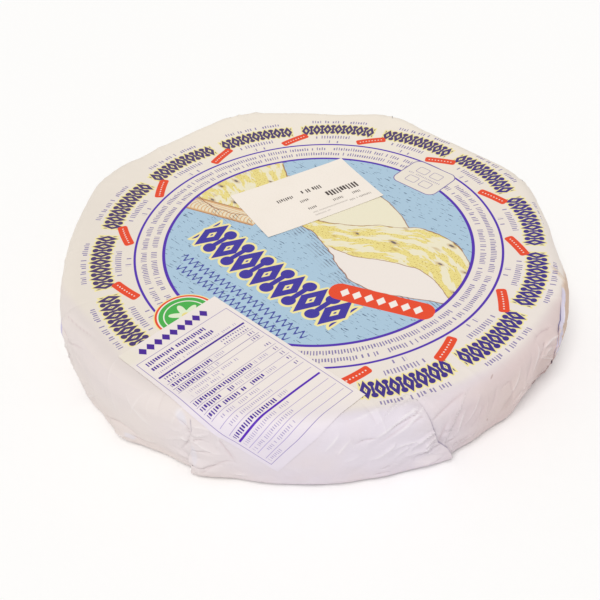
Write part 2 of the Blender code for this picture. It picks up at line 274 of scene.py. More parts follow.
def fanned(rng):
    """Creases that fan out from the pleats: many from those at the back and the sides, a few faint ones between the
    larger ones at the front."""
    made = []
    for i, pleat in enumerate(PLEATS):
        front = i in (1, 2)
        path = np.array(pleat[0])
        for side in (1, -1):
            for k in range(5 if front else 11):
                s0 = rng.uniform(path[0, 1] + 3, 168)
                start = np.interp(s0, path[:, 1], path[:, 0])
                away = side * pleat[4]
                length = rng.uniform(5, 13) if k % 3 else rng.uniform(12, 24)
                drop = rng.uniform(-0.75, 0.75) + (0.35 if s0 < 145 else -0.35)
                bend = rng.uniform(-0.25, 0.25)
                points = []
                for t in (0.02, 0.35, 0.7, 1.0):
                    x = length * t
                    points.append((start + away * math.degrees(x / BASE_RADIUS), s0 + x * drop + bend * length * t * t))
                tall = rng.uniform(0.15, 0.5) * (0.45 if front else 1.0)
                made.append(((i, side), tall * (1 if rng.random() < 0.55 else -0.8), rng.uniform(0.45, 1.0), rng.uniform(-0.7, 0.7), points))
    for k in range(90):
        theta = rng.uniform(-180, 180)
        s0 = rng.uniform(112, 150)
        length = rng.uniform(9, 26)
        lean = rng.uniform(-0.5, 0.5)
        points = [(theta + math.degrees(lean * length * t / BASE_RADIUS), s0 + length * t) for t in (0, 0.5, 1.0)]
        made.append(((None, 0), rng.uniform(0.05, 0.16) * (1 if k % 2 else -1), rng.uniform(0.8, 1.8), rng.uniform(-0.5, 0.5), points))
    for k in range(46):
        theta = rng.uniform(-180, 180)
        s0 = rng.uniform(159, 171)
        length = rng.uniform(4, 13)
        points = [(theta + math.degrees(length * t / BASE_RADIUS), s0 + rng.uniform(-1.6, 1.6)) for t in (0, 0.5, 1.0)]
        made.append(((None, 0), rng.uniform(0.12, 0.36) * (1 if k % 2 else -1), rng.uniform(0.4, 0.8), rng.uniform(-0.7, 0.7), points))
    return made


def curve_through(points, steps=7):
    """Points along a smooth curve through the given ones."""
    p = np.array([points[0]] + list(points) + [points[-1]], float)
    out = []
    for i in range(1, len(p) - 2):
        for t in np.linspace(0, 1, steps, endpoint=False):
            out.append(0.5 * (2 * p[i] + (p[i + 1] - p[i - 1]) * t + (2 * p[i - 1] - 5 * p[i] + 4 * p[i + 1] - p[i + 2]) * t * t
                              + (3 * p[i] - p[i - 1] - 3 * p[i + 1] + p[i + 2]) * t ** 3))
    out.append(p[-2])
    return np.array(out)


ALL_CREASES = CREASES + fanned(np.random.default_rng(41))


def calm(theta, s):
    """1 on bare paper and less under the long label, which holds the paper flat."""
    x, y = s * np.cos(theta) - TABLE_AT[0], s * np.sin(theta) - TABLE_AT[1]
    c, n = math.cos(TABLE_TURN), math.sin(TABLE_TURN)
    a, b = x * c + y * n, x * n - y * c
    inside = np.minimum(np.minimum(a - TABLE_ACROSS[0], TABLE_ACROSS[1] - a), np.minimum(b - TABLE_DOWN[0], TABLE_DOWN[1] - b))
    return 1 - 0.85 * smooth(inside / 4.0 + 0.4)


def pleat_state(theta, s):
    """For each pleat: signed distance in mm from its edge, above 0 on the side that lies on top."""
    out = []
    for pleat in PLEATS:
        path = np.array(pleat[0])
        edge = np.radians(np.interp(s, path[:, 1], path[:, 0]))
        out.append(wrapped(theta - edge) * BASE_RADIUS * pleat[4])
    return out


def opened(pleat, s):
    return smooth((s - pleat[0][0][1]) / 9.0)


def relief(theta, s, sides=None):
    """(height of the paper's relief in mm, crest, hollow): how far it stands out from the plain wheel, and masks from
    0 to 1 of the crests and hollows of its creases. sides says which side of each pleat's edge a point belongs to."""
    x = (theta + math.pi) * BASE_RADIUS
    period = TAU * BASE_RADIUS
    px, py = s * np.cos(theta), s * np.sin(theta)
    quiet = calm(theta, s)
    across = pleat_state(theta, s)
    if sides is None:
        sides = [np.where(a >= 0, 1, -1) for a in across]
    near = np.zeros_like(s)
    for a, pleat in zip(across, PLEATS):
        near = np.maximum(near, np.exp(-np.abs(a) / 13.0) * smooth((s - pleat[0][0][1] + 6) / 14.0))
    on_side = smooth((s - 108) / 26.0)
    low = smooth((s - 150) / 14.0)
    # slack and crumple
    h = soft_noise(px, py, 46, 1) * 0.30 + soft_noise(px, py, 21, 2) * 0.10
    h *= 1 - on_side
    h += on_side * soft_noise(x, s, 27, 3, period) * 0.34
    h += on_side * soft_noise(x, s * 0.45, 12, 4, period) * 0.16
    fine = facet_noise(x, s * 0.8, 15, 21, period) * 0.50 + facet_noise(x, s * 0.8, 6.5, 22, period) * 0.16
    tight = facet_noise(x + s * 0.5, s, 6.0, 23, period) * 0.75 + facet_noise(x, s, 3.2, 24, period) * 0.28
    h += on_side * (fine * (0.80 + 0.9 * low) + tight * (0.22 + 1.7 * near ** 2 + 0.45 * low)) * quiet
    for a, pleat in zip(across, PLEATS):
        pull = np.exp(-np.abs(a - 16.0) / 13.0) * (a > 0) * smooth((s - pleat[0][0][1]) / 10.0) * (1 - smooth((s - 160) / 10.0))
        h += pull * quiet * soft_noise(s - 0.5 * a, (a + 0.5 * s) * 0.22, 3.6, 27) * 0.26
    h += (1 - on_side) * (facet_noise(px, py, 24, 25) * 0.10) * smooth((s - 60) / 40)
    # gathers over the rim
    rim = np.exp(-((s - 128) / 9.0) ** 2)
    h += rim * quiet * facet_noise(x, s * 0.25, 7.0, 26, period) * (0.15 + 0.3 * near)
    crest = np.zeros_like(s)
    hollow = np.zeros_like(s)
    for number, ((which, side), tall, width, lean, points) in enumerate(ALL_CREASES):
        pts = curve_through(points)
        ang = np.radians(pts[:, 0])
        middle = ang.mean()
        reach = 5 * width + 1.5
        dx = wrapped(theta - middle)
        half = np.abs(wrapped(ang - middle)).max() + reach / BASE_RADIUS
        m = (np.abs(dx) < half) & (s > pts[:, 1].min() - reach) & (s < pts[:, 1].max() + reach)
        if which is not None:
            m &= sides[which] == side
        idx = np.nonzero(m)[0]
        if not len(idx):
            continue
        vx, vy = dx[idx] * BASE_RADIUS, s[idx]
        cx, cy = wrapped(ang - middle) * BASE_RADIUS, pts[:, 1]
        best = np.full(len(idx), 1e9)
        along = np.zeros(len(idx))
        hand = np.zeros(len(idx))
        n = len(pts) - 1
        for k in range(n):
            ex, ey = cx[k + 1] - cx[k], cy[k + 1] - cy[k]
            L2 = ex * ex + ey * ey + 1e-12
            t = np.clip(((vx - cx[k]) * ex + (vy - cy[k]) * ey) / L2, 0, 1)
            qx, qy = vx - cx[k] - t * ex, vy - cy[k] - t * ey
            d = np.hypot(qx, qy)
            closer = d < best
            best = np.where(closer, d, best)
            along = np.where(closer, (k + t) / n, along)
            hand = np.where(closer, np.sign(ex * qy - ey * qx), hand)
        w = width * np.where(hand > 0, 1 + 0.8 * lean, 1 - 0.8 * lean) * (0.55 + 0.45 * np.sin(math.pi * along))
        w = np.maximum(w, 0.22)
        if number < len(CREASES):
            tall = tall * (2.8 - 1.4 * min(max((abs(tall) - 0.25) / 0.6, 0.0), 1.0))
        else:
            tall = tall * (1.3 if which in (0, 7) else 2.0)
        if which is None:
            env = np.sin(math.pi * along) ** 0.7
        else:
            env = smooth(along / 0.10) * 0.35 + 0.65
            env *= smooth((1 - along) / 0.55)
            # a crease's first point can be at either end of it
            if abs(wrapped(ang[0] - math.radians(pleat_middle(PLEATS[which])))) > abs(wrapped(ang[-1] - math.radians(pleat_middle(PLEATS[which])))):
                env = smooth(along / 0.55) * (0.65 + 0.35 * smooth((1 - along) / 0.10))
        shape = np.exp(-(best / w) ** 1.25) * env
        h[idx] += tall * shape * np.where(quiet[idx] < 0.9, quiet[idx], 1.0)
        # mark: the strength of a crease's painted highlight on a crest and painted shade in a hollow
        mark = np.exp(-best / (0.55 * w)) * env * min(abs(tall) / 0.5, 1.0)
        if tall > 0:
            crest[idx] = np.maximum(crest[idx], mark)
        else:
            hollow[idx] = np.maximum(hollow[idx], mark)
    # a pocket of slack paper stands out over the rim behind the right-hand pleat
    h += 1.9 * np.exp(-((np.degrees(wrapped(theta - math.radians(-18.0))) / 6.5) ** 2) - ((s - 133.0) / 6.5) ** 2) * smooth((np.degrees(wrapped(theta - math.radians(-29.0)))) / 6.0)
    # the paper is worn over the foot and dips just before it
    under = smooth((s - (outline(theta) - TOP_ROUND + TO_FOOT)) / 6.0)
    return h * (1 - under), crest, hollow


def foot_flaps(theta, s):
    """How far free corners of the folds stand out near the foot, in mm from the axis."""
    out = np.zeros_like(s)
    radius = outline(theta)
    foot = radius - TOP_ROUND + TO_UNDER
    shut = 1 - smooth((s - foot + 1.0) / 7.0)
    for across, pleat in zip(pleat_state(theta, s), PLEATS):
        rise = smooth((s - 149) / 18.0)
        out += np.where(across >= -0.9, pleat[6] * (1 - smooth(across / 19.0)), 0) * rise * shut
    out += 2.2 * np.exp(-((np.degrees(wrapped(theta - math.radians(-133.2))) / 3.4) ** 2)) * smooth((s - 157) / 9.0) * shut
    out += 0.8 * np.exp(-((np.degrees(wrapped(theta - math.radians(-46.5))) / 2.6) ** 2)) * smooth((s - 155) / 9.0) * shut
    # where the side is tucked in towards the foot: the middle of each place, its half-width in degrees, and how deep
    for middle, wide, deep in ((-34.0, 6.5, 4.6), (-43.0, 6.0, 1.6), (-54.0, 6.0, 1.1), (-62.0, 4.0, 0.7), (-123.0, 5.5, 1.8)):
        out -= deep * np.exp(-((np.degrees(wrapped(theta - math.radians(middle))) / wide) ** 2)) * smooth((s - 149) / 19.0) * shut
    return out


def placed(theta, s, h, stand=0.0):
    """Points of the wrap in metres."""
    r, z, nr, nz = section(s, outline(theta))
    r = r + nr * h + stand
    z = np.maximum(z + nz * h, 0.0)
    return np.stack([r * np.cos(theta), r * np.sin(theta), z], -1) * MM


# ---- the wrap's mesh ---------------------------------------------------------------------------------------------------
# for each column next to a pleat's edge: where it goes across the edge in mm, how high it stands, and how strong the
# slit mask is there: the fold's violet inside with painted shadow in the gap under the lip
LIP = {1: (0.36, 1.0, 0.0), 0: (-0.40, 0.95, 0.0), -1: (-0.43, 0.60, 0.85), -2: (0.72, 0.05, 1.0), -3: (-0.58, -0.08, 0.5), -4: (-1.38, -0.03, 0.1)}
SPLIT = 130.0                   # the top's mesh ends here and the side's begins


def ring_rows():
    """(arc length for the base radius, number of columns) of every ring, from the top's middle to the underside's."""
    few, some, many = COLUMNS // 9, COLUMNS // 3, COLUMNS
    rows = [(s, few) for s in (4.0, 9.0, 14.0, 20.0, 26.0, 32.0, 38.0, 44.0)]
    rows += [(44.0 + 2.4 * k, some) for k in range(1, 28)]
    rows += [(110.0 + 0.8 * k, many) for k in range(25)] + [(SPLIT, many)]
    rows += [(SPLIT + 0.5 * k, many) for k in range(1, 88)]
    rows += [(s, many) for s in (175.0, 177.0, 180.0, 184.0)]
    rows += [(188.0 + 4.5 * k, some) for k in range(19)]
    rows += [(s, few) for s in (274.0, 280.0, 286.0, 292.0, 297.0)]
    return rows


def build_wrap():
    rows = ring_rows()
    total = TO_UNDER + BASE_RADIUS - TOP_ROUND
    base, col, count, start, row_of = [], [], [], [], []
    at = 1
    for i, (s, n) in enumerate(rows):
        start.append(at)
        count.append(n)
        base.append(np.full(n, s))
        col.append(np.arange(n) * (COLUMNS // n))
        row_of.append(np.full(n, i))
        at += n
    base, col, row_of = np.concatenate(base), np.concatenate(col), np.concatenate(row_of)
    fine = np.array([n == COLUMNS for _, n in rows])[row_of]
    plain = -math.pi + col * TAU / COLUMNS

    def arc(sigma, radius):
        grown = sigma + (radius - BASE_RADIUS) * smooth((sigma - 85) / 40)
        inner = (sigma - total) / (BASE_RADIUS - DRAFT - FOOT_ROUND)
        return np.where(sigma <= total, grown, total + radius - BASE_RADIUS + inner * (radius - DRAFT - FOOT_ROUND))

    s = arc(base, outline(plain))
    theta = plain.copy()
    height = np.zeros_like(s)
    slit = np.zeros_like(s)
    sides = []
    for pleat in PLEATS:
        path = np.array(pleat[0])
        centre = int(round((math.radians(pleat_middle(pleat)) + math.pi) / TAU * COLUMNS))
        j = ((col - centre + COLUMNS // 2) % COLUMNS - COLUMNS // 2) * pleat[4]
        u0 = -math.pi + centre * TAU / COLUMNS
        edge = np.radians(np.interp(s, path[:, 1], path[:, 0]))
        window = 1 - smooth(np.abs(wrapped(plain - u0)) / math.radians(15.0))
        theta = theta + window * wrapped(edge - u0)
        side = np.where(j >= -1, 1, -1)
        # the folded lip, made of the columns next to the edge
        k = smooth((s - path[0, 1]) / 3.5) * fine
        under = smooth((s - (outline(plain) - TOP_ROUND + TO_FOOT + 4)) / 6.0)
        tall = pleat[5] * opened(pleat, s) * (1 + 0.18 * soft_noise(s, s * 0, 7, 60 + centre))
        pitch = TAU / COLUMNS * BASE_RADIUS
        shows = 0.35 + 0.65 * smooth(soft_noise(s, s * 0 + centre, 8, 61) * 1.5 + 0.8)
        if pleat is PLEATS[3]:
            shows = 1 - 0.85 * smooth((s - 138) / 4)
        for jj, (a, high, dark) in LIP.items():
            m = j == jj
            theta[m] += pleat[4] * (a - jj * pitch) * k[m] / BASE_RADIUS
            lift = tall[m] * high if jj > -3 else high
            height[m] += lift * k[m] * (1 - under[m]) - (tall[m] * (1 - high) if jj <= -1 else 0) * under[m] * k[m] * 0.8
            # the slit mask: the fold's violet inside and painted shadow in the gap
            slit[m] = np.maximum(slit[m], dark * k[m] * (1 - 0.7 * under[m]) * shows[m])
        far = np.abs(j) * pitch
        m = j > 1
        height[m] += (tall * (1 - smooth((far - pitch) / LAP_FADE)) * (1 - under))[m]
        m = j < -4
        height[m] -= (tall * 0.8 * (1 - smooth((far - 4 * pitch) / LAP_FADE)) * under)[m] * fine[m]
        sides.append(side)
    theta = wrapped(theta)
    s = arc(base, outline(theta))
    h, crest, hollow = relief(theta, s, sides)
    h = h + height
    # the underside: the wrap's ends are folded over it towards the middle
    under = smooth((s - (outline(theta) - TOP_ROUND + TO_UNDER)) / 5.0)
    r_in = np.where(under > 0, section(s, outline(theta))[0], 0)
    ux, uy = r_in * np.cos(theta), r_in * np.sin(theta)
    dip = 0.30 + 0.22 * soft_noise(ux, uy, 30, 70) + 0.30 * facet_noise(ux, uy, 14, 71)
    for k, pleat in enumerate(PLEATS):
        lean = math.radians(18 + 5 * math.sin(3 * k))
        turn = math.radians(pleat[0][-1][0]) + lean * pleat[4] * (1 - r_in / 120.0)
        a = wrapped(theta - turn) * np.maximum(r_in, 1) * pleat[4]
        fold = np.where(a > 0, 0.0, 0.55 * np.exp(a / 9.0)) * smooth(r_in / 40.0)
        dip = np.maximum(dip, fold + dip * 0.6)
        # the hollow mask also lines the underside's folds: painted shade
        hollow = np.maximum(hollow, under * np.exp(-np.abs(a - 0.3) / 0.7) * 0.7 * (r_in > 14))
    h -= np.clip(dip, 0.0, 1.6) * under * smooth((s - (outline(theta) - TOP_ROUND + TO_UNDER) - 3) / 9)
    stand = foot_flaps(theta, s)
    points = placed(theta, s, h, stand)
    top = np.array([[0.0, 0.0, HEIGHT * MM + h[0] * MM]])
    bottom = np.array([[0.0, 0.0, 0.4 * MM]])
    points = np.concatenate([top, points, bottom])
    last = len(points) - 1
    pad = lambda v, a, b: np.concatenate([[a], v, [b]])
    paper = np.stack([pad(s * np.cos(theta), 0, 0), pad(s * np.sin(theta), 0, 0)], -1)
    data = {
        "paper": paper,
        "s": pad(s, 0, 300), "theta": pad(theta, 0, 0), "col": pad(col, 0, 0), "row": pad(row_of, -1, len(rows)),
        "base": pad(base, 0, total + BASE_RADIUS),
        "crest": pad(crest, 0, 0), "hollow": pad(hollow, 0, 0), "slit": pad(slit, 0, 0),
        "xy": points[:, :2] / MM,
    }
    # faces, ring by ring
    faces, face_row = [], []
    n = count[0]
    j = np.arange(n)
    faces.append(np.stack([np.zeros(n, int), start[0] + j, start[0] + (j + 1) % n], 1))
    face_row.append(np.full(n, -1))
    for i in range(len(rows) - 1):
        n, m, a, b = count[i], count[i + 1], start[i], start[i + 1]
        if n == m:
            j = np.arange(n)
            k = (j + 1) % n
            made = np.stack([a + j, b + j, b + k, a + k], 1)
        elif m == 3 * n:
            j = np.arange(n)
            made = np.stack([a + j, b + 3 * j, b + 3 * j + 1, b + 3 * j + 2, b + (3 * j + 3) % m, a + (j + 1) % n], 1)
        else:
            j = np.arange(m)
            made = np.stack([a + 3 * j, b + j, b + (j + 1) % m, a + (3 * j + 3) % n, a + 3 * j + 2, a + 3 * j + 1], 1)
        faces.append(made)
        face_row.append(np.full(len(made), i))
    n = count[-1]
    j = np.arange(n)
    faces.append(np.stack([start[-1] + j, np.full(n, last), start[-1] + (j + 1) % n], 1))
    face_row.append(np.full(n, len(rows) - 1))
    return points, faces, face_row, data, rows


def vertex_normals(points, faces):
    normals = np.zeros_like(points)
    for f in faces:
        p = points[f]
        n = np.zeros((len(f), 3))
        for k in range(1, f.shape[1] - 1):
            n += np.cross(p[:, k] - p[:, 0], p[:, k + 1] - p[:, 0])
        for k in range(f.shape[1]):
            np.add.at(normals, f[:, k], n)
    return normals / np.maximum(np.linalg.norm(normals, axis=1, keepdims=True), 1e-30)


def mesh_object(name, points, faces, normals, uvs, floats, material):
    """A mesh from arrays. faces is a list of arrays with one row for each face; uvs is {name: one (n, 2) array for all
    corners in order}; floats is {name: one value for each vertex}."""
    mesh = bpy.data.meshes.new(name)
    sizes = np.concatenate([np.full(len(f), f.shape[1]) for f in faces])
    loops = np.concatenate([f.ravel() for f in faces]).astype(np.int32)
    starts = np.concatenate([[0], np.cumsum(sizes)[:-1]]).astype(np.int32)
    mesh.vertices.add(len(points))
    mesh.vertices.foreach_set("co", points.astype(np.float32).ravel())
    mesh.loops.add(len(loops))
    mesh.loops.foreach_set("vertex_index", loops)
    mesh.polygons.add(len(sizes))
    mesh.polygons.foreach_set("loop_start", starts)
    mesh.update(calc_edges=True)
    mesh.validate()
    for uv_name, values in uvs.items():
        layer = mesh.uv_layers.new(name=uv_name)
        layer.uv.foreach_set("vector", values.astype(np.float32).ravel())
    for attr, values in floats.items():
        layer = mesh.attributes.new(attr, "FLOAT", "POINT")
        layer.data.foreach_set("value", values.astype(np.float32))
    mesh.shade_smooth()
    mesh.normals_split_custom_set_from_vertices([tuple(n) for n in normals])
    obj = bpy.data.objects.new(name, mesh)
    bpy.context.scene.collection.objects.link(obj)
    mesh.materials.append(material)
    return obj


def cut_piece(name, points, faces, face_row, data, normals, keep, columns, atlas, material):
    """One piece of the wrap: the faces between the rings and the columns given, with their own vertices."""
    kept = []
    for f, r in zip(faces, face_row):
        first = data["col"][f[:, 0]]
        f = f[(r >= keep[0]) & (r < keep[1]) & (first >= columns[0]) & (first < columns[1])]
        if len(f):
            kept.append(f)
    used = np.unique(np.concatenate([f.ravel() for f in kept]))
    new = np.full(len(points), -1)
    new[used] = np.arange(len(used))
    corners = np.concatenate([f.ravel() for f in kept])
    owner = np.concatenate([np.repeat(f[:, :1], f.shape[1], 1).ravel() for f in kept])
    uvs = {"paper": data["paper"][corners] / 100.0, "OFBake": atlas(corners, owner, data)}
    floats = {k: data[k][used] for k in ("crest", "hollow", "slit")}
    floats["along"] = data["s"][used]
    return mesh_object(name, points[used], [new[f] for f in kept], normals[used], uvs, floats, material)


def top_atlas(corners, owner, data):
    return data["paper"][corners] / 274.0 + 0.5


def half_atlas(which):
    """Half of the side as two strips, and half of the underside below them."""
    quarter = COLUMNS // 4
    hand = 1 if which else -1

    def atlas(corners, owner, data):
        strip = (data["col"][owner] - 2 * quarter * which) // quarter
        u = (data["col"][corners] - 2 * quarter * which - quarter * strip) % COLUMNS / quarter
        v = (data["base"][corners] - SPLIT) / 54.0
        uv = np.stack([0.01 + 0.98 * u, 0.995 - strip * 0.265 - v * 0.255], -1)
        flat = data["base"][owner] >= 183.9
        disc = data["xy"][corners][flat]
        uv[flat] = np.stack([0.5 + disc[:, 0] / 262.0 * 0.94, 0.02 + 0.43 * (hand * disc[:, 1] + 2.0) / 134.0], -1)
        return uv

    return atlas


# ---- node materials ------------------------------------------------------------------------------------------------------
class Value:
    """A socket in a node tree that adds up, multiplies and so on by making Math nodes."""

    def __init__(self, nodes, socket):
        self.nodes, self.socket = nodes, socket

    def __add__(self, other):
        return self.nodes.math("ADD", self, other)

    __radd__ = __add__

    def __sub__(self, other):
        return self.nodes.math("SUBTRACT", self, other)

    def __rsub__(self, other):
        return self.nodes.math("SUBTRACT", other, self)

    def __mul__(self, other):
        return self.nodes.math("MULTIPLY", self, other)

    __rmul__ = __mul__

    def __truediv__(self, other):
        return self.nodes.math("DIVIDE", self, other)

    def __neg__(self):
        return self.nodes.math("MULTIPLY", self, -1.0)


def srgb(r, g, b, gain=1.0):
    """A colour as seen on a screen, 0 to 255, as linear values."""
    out = []
    for c in (r, g, b):
        c = c / 255.0
        out.append(min((c / 12.92 if c <= 0.04045 else ((c + 0.055) / 1.055) ** 2.4) * gain, 1.0))
    return (*out, 1.0)


class Nodes:
    def __init__(self, name):
        self.material = bpy.data.materials.new(name)
        self.material.use_nodes = True
        self.tree = self.material.node_tree
        self.shader = self.tree.nodes["Principled BSDF"]
        self.shader.inputs["Metallic"].default_value = 0.0

    def new(self, kind, **settings):
        node = self.tree.nodes.new(kind)
        for key, value in settings.items():
            setattr(node, key, value)
        return node

    def put(self, socket, value):
        if isinstance(value, Value):
            self.tree.links.new(value.socket, socket)
        else:
            socket.default_value = value

    def math(self, kind, *values, clamp=False):
        node = self.new("ShaderNodeMath", operation=kind, use_clamp=clamp)
        for socket, value in zip(node.inputs, values):
            self.put(socket, value)
        return Value(self, node.outputs[0])

    def low(self, a, b):
        return self.math("MINIMUM", a, b)

    def high(self, a, b):
        return self.math("MAXIMUM", a, b)

    def size(self, a):
        return self.math("ABSOLUTE", a)

    def floor(self, a):
        return self.math("FLOOR", a)

    def root(self, a):
        return self.math("SQRT", a)

    def length(self, a, b):
        return self.root(a * a + b * b)

    def inside(self, distance, blur=0.16):
        """1 where a signed distance in mm is below 0, with a soft edge blur wide."""
        return self.math("MULTIPLY_ADD", distance, -1.0 / blur, 0.5, clamp=True)

    def ramp(self, value, a, b, lo=0.0, hi=1.0):
        node = self.new("ShaderNodeMapRange", interpolation_type="SMOOTHSTEP")
        self.put(node.inputs["Value"], value)
        for key, number in (("From Min", a), ("From Max", b), ("To Min", lo), ("To Max", hi)):
            node.inputs[key].default_value = number
        return Value(self, node.outputs["Result"])

    def random(self, value):
        node = self.new("ShaderNodeTexWhiteNoise", noise_dimensions="1D")
        self.put(node.inputs["W"], value)
        return Value(self, node.outputs["Value"])

    def vector(self, x, y, z=0.0):
        node = self.new("ShaderNodeCombineXYZ")
        for socket, value in zip(node.inputs, (x, y, z)):
            self.put(socket, value)
        return Value(self, node.outputs[0])

    def noise(self, vector, scale, detail=2.0, rough=0.5):
        node = self.new("ShaderNodeTexNoise")
        self.put(node.inputs["Vector"], vector)
        node.inputs["Scale"].default_value = scale
        node.inputs["Detail"].default_value = detail
        node.inputs["Roughness"].default_value = rough
        return Value(self, node.outputs[0])

    def spots(self, vector, scale):
        node = self.new("ShaderNodeTexVoronoi", voronoi_dimensions="2D", feature="F1")
        self.put(node.inputs["Vector"], vector)
        node.inputs["Scale"].default_value = scale
        return Value(self, node.outputs["Distance"])

    def mix(self, amount, a, b):
        node = self.new("ShaderNodeMix", data_type="RGBA", blend_type="MIX")
        self.put(node.inputs[0], amount)
        self.put(node.inputs[6], a)
        self.put(node.inputs[7], b)
        return Value(self, node.outputs[2])

    def attribute(self, name):
        node = self.new("ShaderNodeAttribute", attribute_name=name)
        return Value(self, node.outputs["Fac"])

    def uv(self, name, scale=100.0):
        """A UV map's two numbers, in millimetres."""
        node = self.new("ShaderNodeUVMap", uv_map=name)
        split = self.new("ShaderNodeSeparateXYZ")
        self.tree.links.new(node.outputs[0], split.inputs[0])
        return Value(self, split.outputs[0]) * scale, Value(self, split.outputs[1]) * scale

    def turned(self, x, y, cx, cy, degrees):
        """Coordinates along and across a direction, from a centre."""
        c, s = math.cos(math.radians(degrees)), math.sin(math.radians(degrees))
        x, y = x - cx, y - cy
        return x * c + y * s, y * c - x * s

    def box(self, u, v, hu, hv, radius=0.0):
        """Signed distance to a rectangle, with round corners if radius is given."""
        du, dv = self.size(u) - (hu - radius), self.size(v) - (hv - radius)
        if not radius:
            return self.high(du, dv)
        return self.length(self.high(du, 0.0), self.high(dv, 0.0)) + self.low(self.high(du, dv), 0.0) - radius

    def strokes(self, u, v, pitch, wide, tall, seed, gaps=0.16):
        """A row of short upright strokes in groups, uneven in height, for a line of small print."""
        cell = self.floor(u / pitch)
        one = self.random(cell + seed)
        two = self.random(cell + (seed + 57.3))
        f = self.size(u - (cell + 0.5) * pitch) - (one * 0.6 + 0.75) * wide / 2
        shown = self.math("GREATER_THAN", two, gaps)
        short = self.math("GREATER_THAN", one, 0.55) * (tall * 0.22)
        g = self.size(v + short * 0.5) - (tall / 2 - short * 0.5)
        return self.inside(self.high(f, g), 0.12) * shown


def paper_coordinates(n):
    """The wrap's own coordinates in mm, from the wheel's middle and from the print's."""
    x, y = n.uv("paper")
    return x, y, x - PRINT_AT[0], y - PRINT_AT[1]


TOP_LIGHT = 1.0
INK = {
    "violet": srgb(80, 40, 174),
    "navy": srgb(62, 50, 158),
    "dark_navy": srgb(74, 54, 108),
    "outline": srgb(243, 230, 160),
    "blue": srgb(172, 200, 220),
    "deep_blue": srgb(70, 78, 160),
    "red": srgb(232, 72, 34),
    "green": srgb(70, 176, 74),
    "yellow": srgb(236, 220, 138),
    "cream": srgb(238, 231, 205),
    "ochre": srgb(222, 178, 128),
    "brown": srgb(150, 92, 58),
    "grey_violet": srgb(118, 104, 164),
    "sketch": srgb(88, 80, 96),
    "white": srgb(244, 238, 230),
    "top_paper": srgb(236, 227, 214),
    # the side's paper: the top's paper painted darker and pinker as shade
    "shaded_side_paper": srgb(227, 217, 214),
}


def wrap_paper(n, x, y, px, py, r):
    """The bare paper's colour with painted light and shade in it: cream on the printed top, painted lighter towards the
    back and darker towards the right front; paler, darker and a little pink on the side as painted shade, lighter
    towards the back, with a painted lilac shade at the front, a painted rosy shade on the right front and painted shade
    towards the foot; a tan streak and faint blotches."""
    along = n.attribute("along")
    where = n.vector(x, y)
    back = n.ramp(y, -70.0, 20.0)
    # edge: where the side's painted shade takes over from the top's cream, past the rim at the front and further round
    # it at the back
    edge = n.ramp(r + n.noise(where, 0.05, 2.0) * 5.0 - back * 20.0, 121.5, 127.5)
    # lilac and rosy: where the side's painted shade turns lilac (the front) and rosy (the right front)
    lilac = n.ramp(n.length(x - 28.0, y + 152.0), 92.0, 44.0)
    rosy = n.ramp(n.length(x - 132.0, y + 76.0), 112.0, 48.0)
    # the side's painted shade, lighter and warmer towards the back
    plain = n.mix(back, INK["shaded_side_paper"], srgb(231, 222, 212))
    rosy = rosy * n.ramp(along, 125.0, 135.0)
    # painted light on the top: lighter towards the back, darker towards the right front
    cream = n.mix(n.ramp(y, 20.0, 120.0), INK["top_paper"], srgb(241, 232, 219))
    cream = n.mix(n.ramp(x - y, 20.0, 170.0), cream, srgb(235, 226, 219))
    paper = n.mix(edge, cream, plain)
    shown = edge * n.ramp(along, 186.0, 170.0)
    # painted shade on the side: lilac at the front, rosy on the right front
    paper = n.mix(lilac * shown, paper, srgb(224, 216, 226))
    paper = n.mix(rosy * shown * 0.90, paper, srgb(217, 198, 197))
    u, v = n.turned(x, y, 122.2, -39.3, -69.4)
    paper = n.mix(n.ramp(n.length(u / 7.5, v / 1.7), 1.2, 0.4) * 0.6, paper, srgb(210, 184, 152))
    blotch = n.ramp(n.noise(where, 0.022, 3.0, 0.6), 0.42, 0.72)
    paper = n.mix(blotch * edge * 0.22, paper, srgb(224, 206, 194))
    paper = n.mix(n.ramp(x, -50.0, -120.0) * 0.3, paper, srgb(222, 213, 208))
    # painted shade towards the foot, stronger on the right front
    low = n.ramp(along, 150.0, 176.0)
    paper = n.mix(low * (rosy * 0.40 + 0.20), paper, srgb(208, 188, 188))
    return paper, edge


def finish_paper(n, colour, x, y):
    """Crests paler as a painted highlight, hollows darker as painted shade, the folds' insides violet with painted
    shadow in their gaps, and the sheet's fine tooth.
    """
    where = n.vector(x, y)
    crest, hollow, slit = n.attribute("crest"), n.attribute("hollow"), n.attribute("slit")
    # painted highlight on the crests, painted shade in the hollows, and painted shadow over the folds' violet insides
    # in the slits
    colour = n.mix(n.ramp(crest, 0.15, 1.0) * 0.50, colour, srgb(250, 246, 246))
    colour = n.mix(n.ramp(hollow, 0.15, 1.0) * 0.42, colour, srgb(200, 178, 182))
    colour = n.mix(n.ramp(slit, 0.1, 0.9) * 0.82, colour, srgb(92, 76, 132))
    n.put(n.shader.inputs["Base Color"], colour)
    rough = n.noise(where, 0.35, 3.0) * 0.16 + 0.44
    n.put(n.shader.inputs["Roughness"], rough)
    n.shader.inputs["Specular IOR Level"].default_value = 0.38
    bump = n.new("ShaderNodeBump")
    bump.inputs["Strength"].default_value = 0.22
    bump.inputs["Distance"].default_value = 0.0004
    n.put(bump.inputs["Height"], n.noise(where, 0.9, 4.0, 0.6) * 0.7 + n.noise(where, 0.16, 3.0, 0.55) * 0.9)
    n.tree.links.new(bump.outputs[0], n.shader.inputs["Normal"])


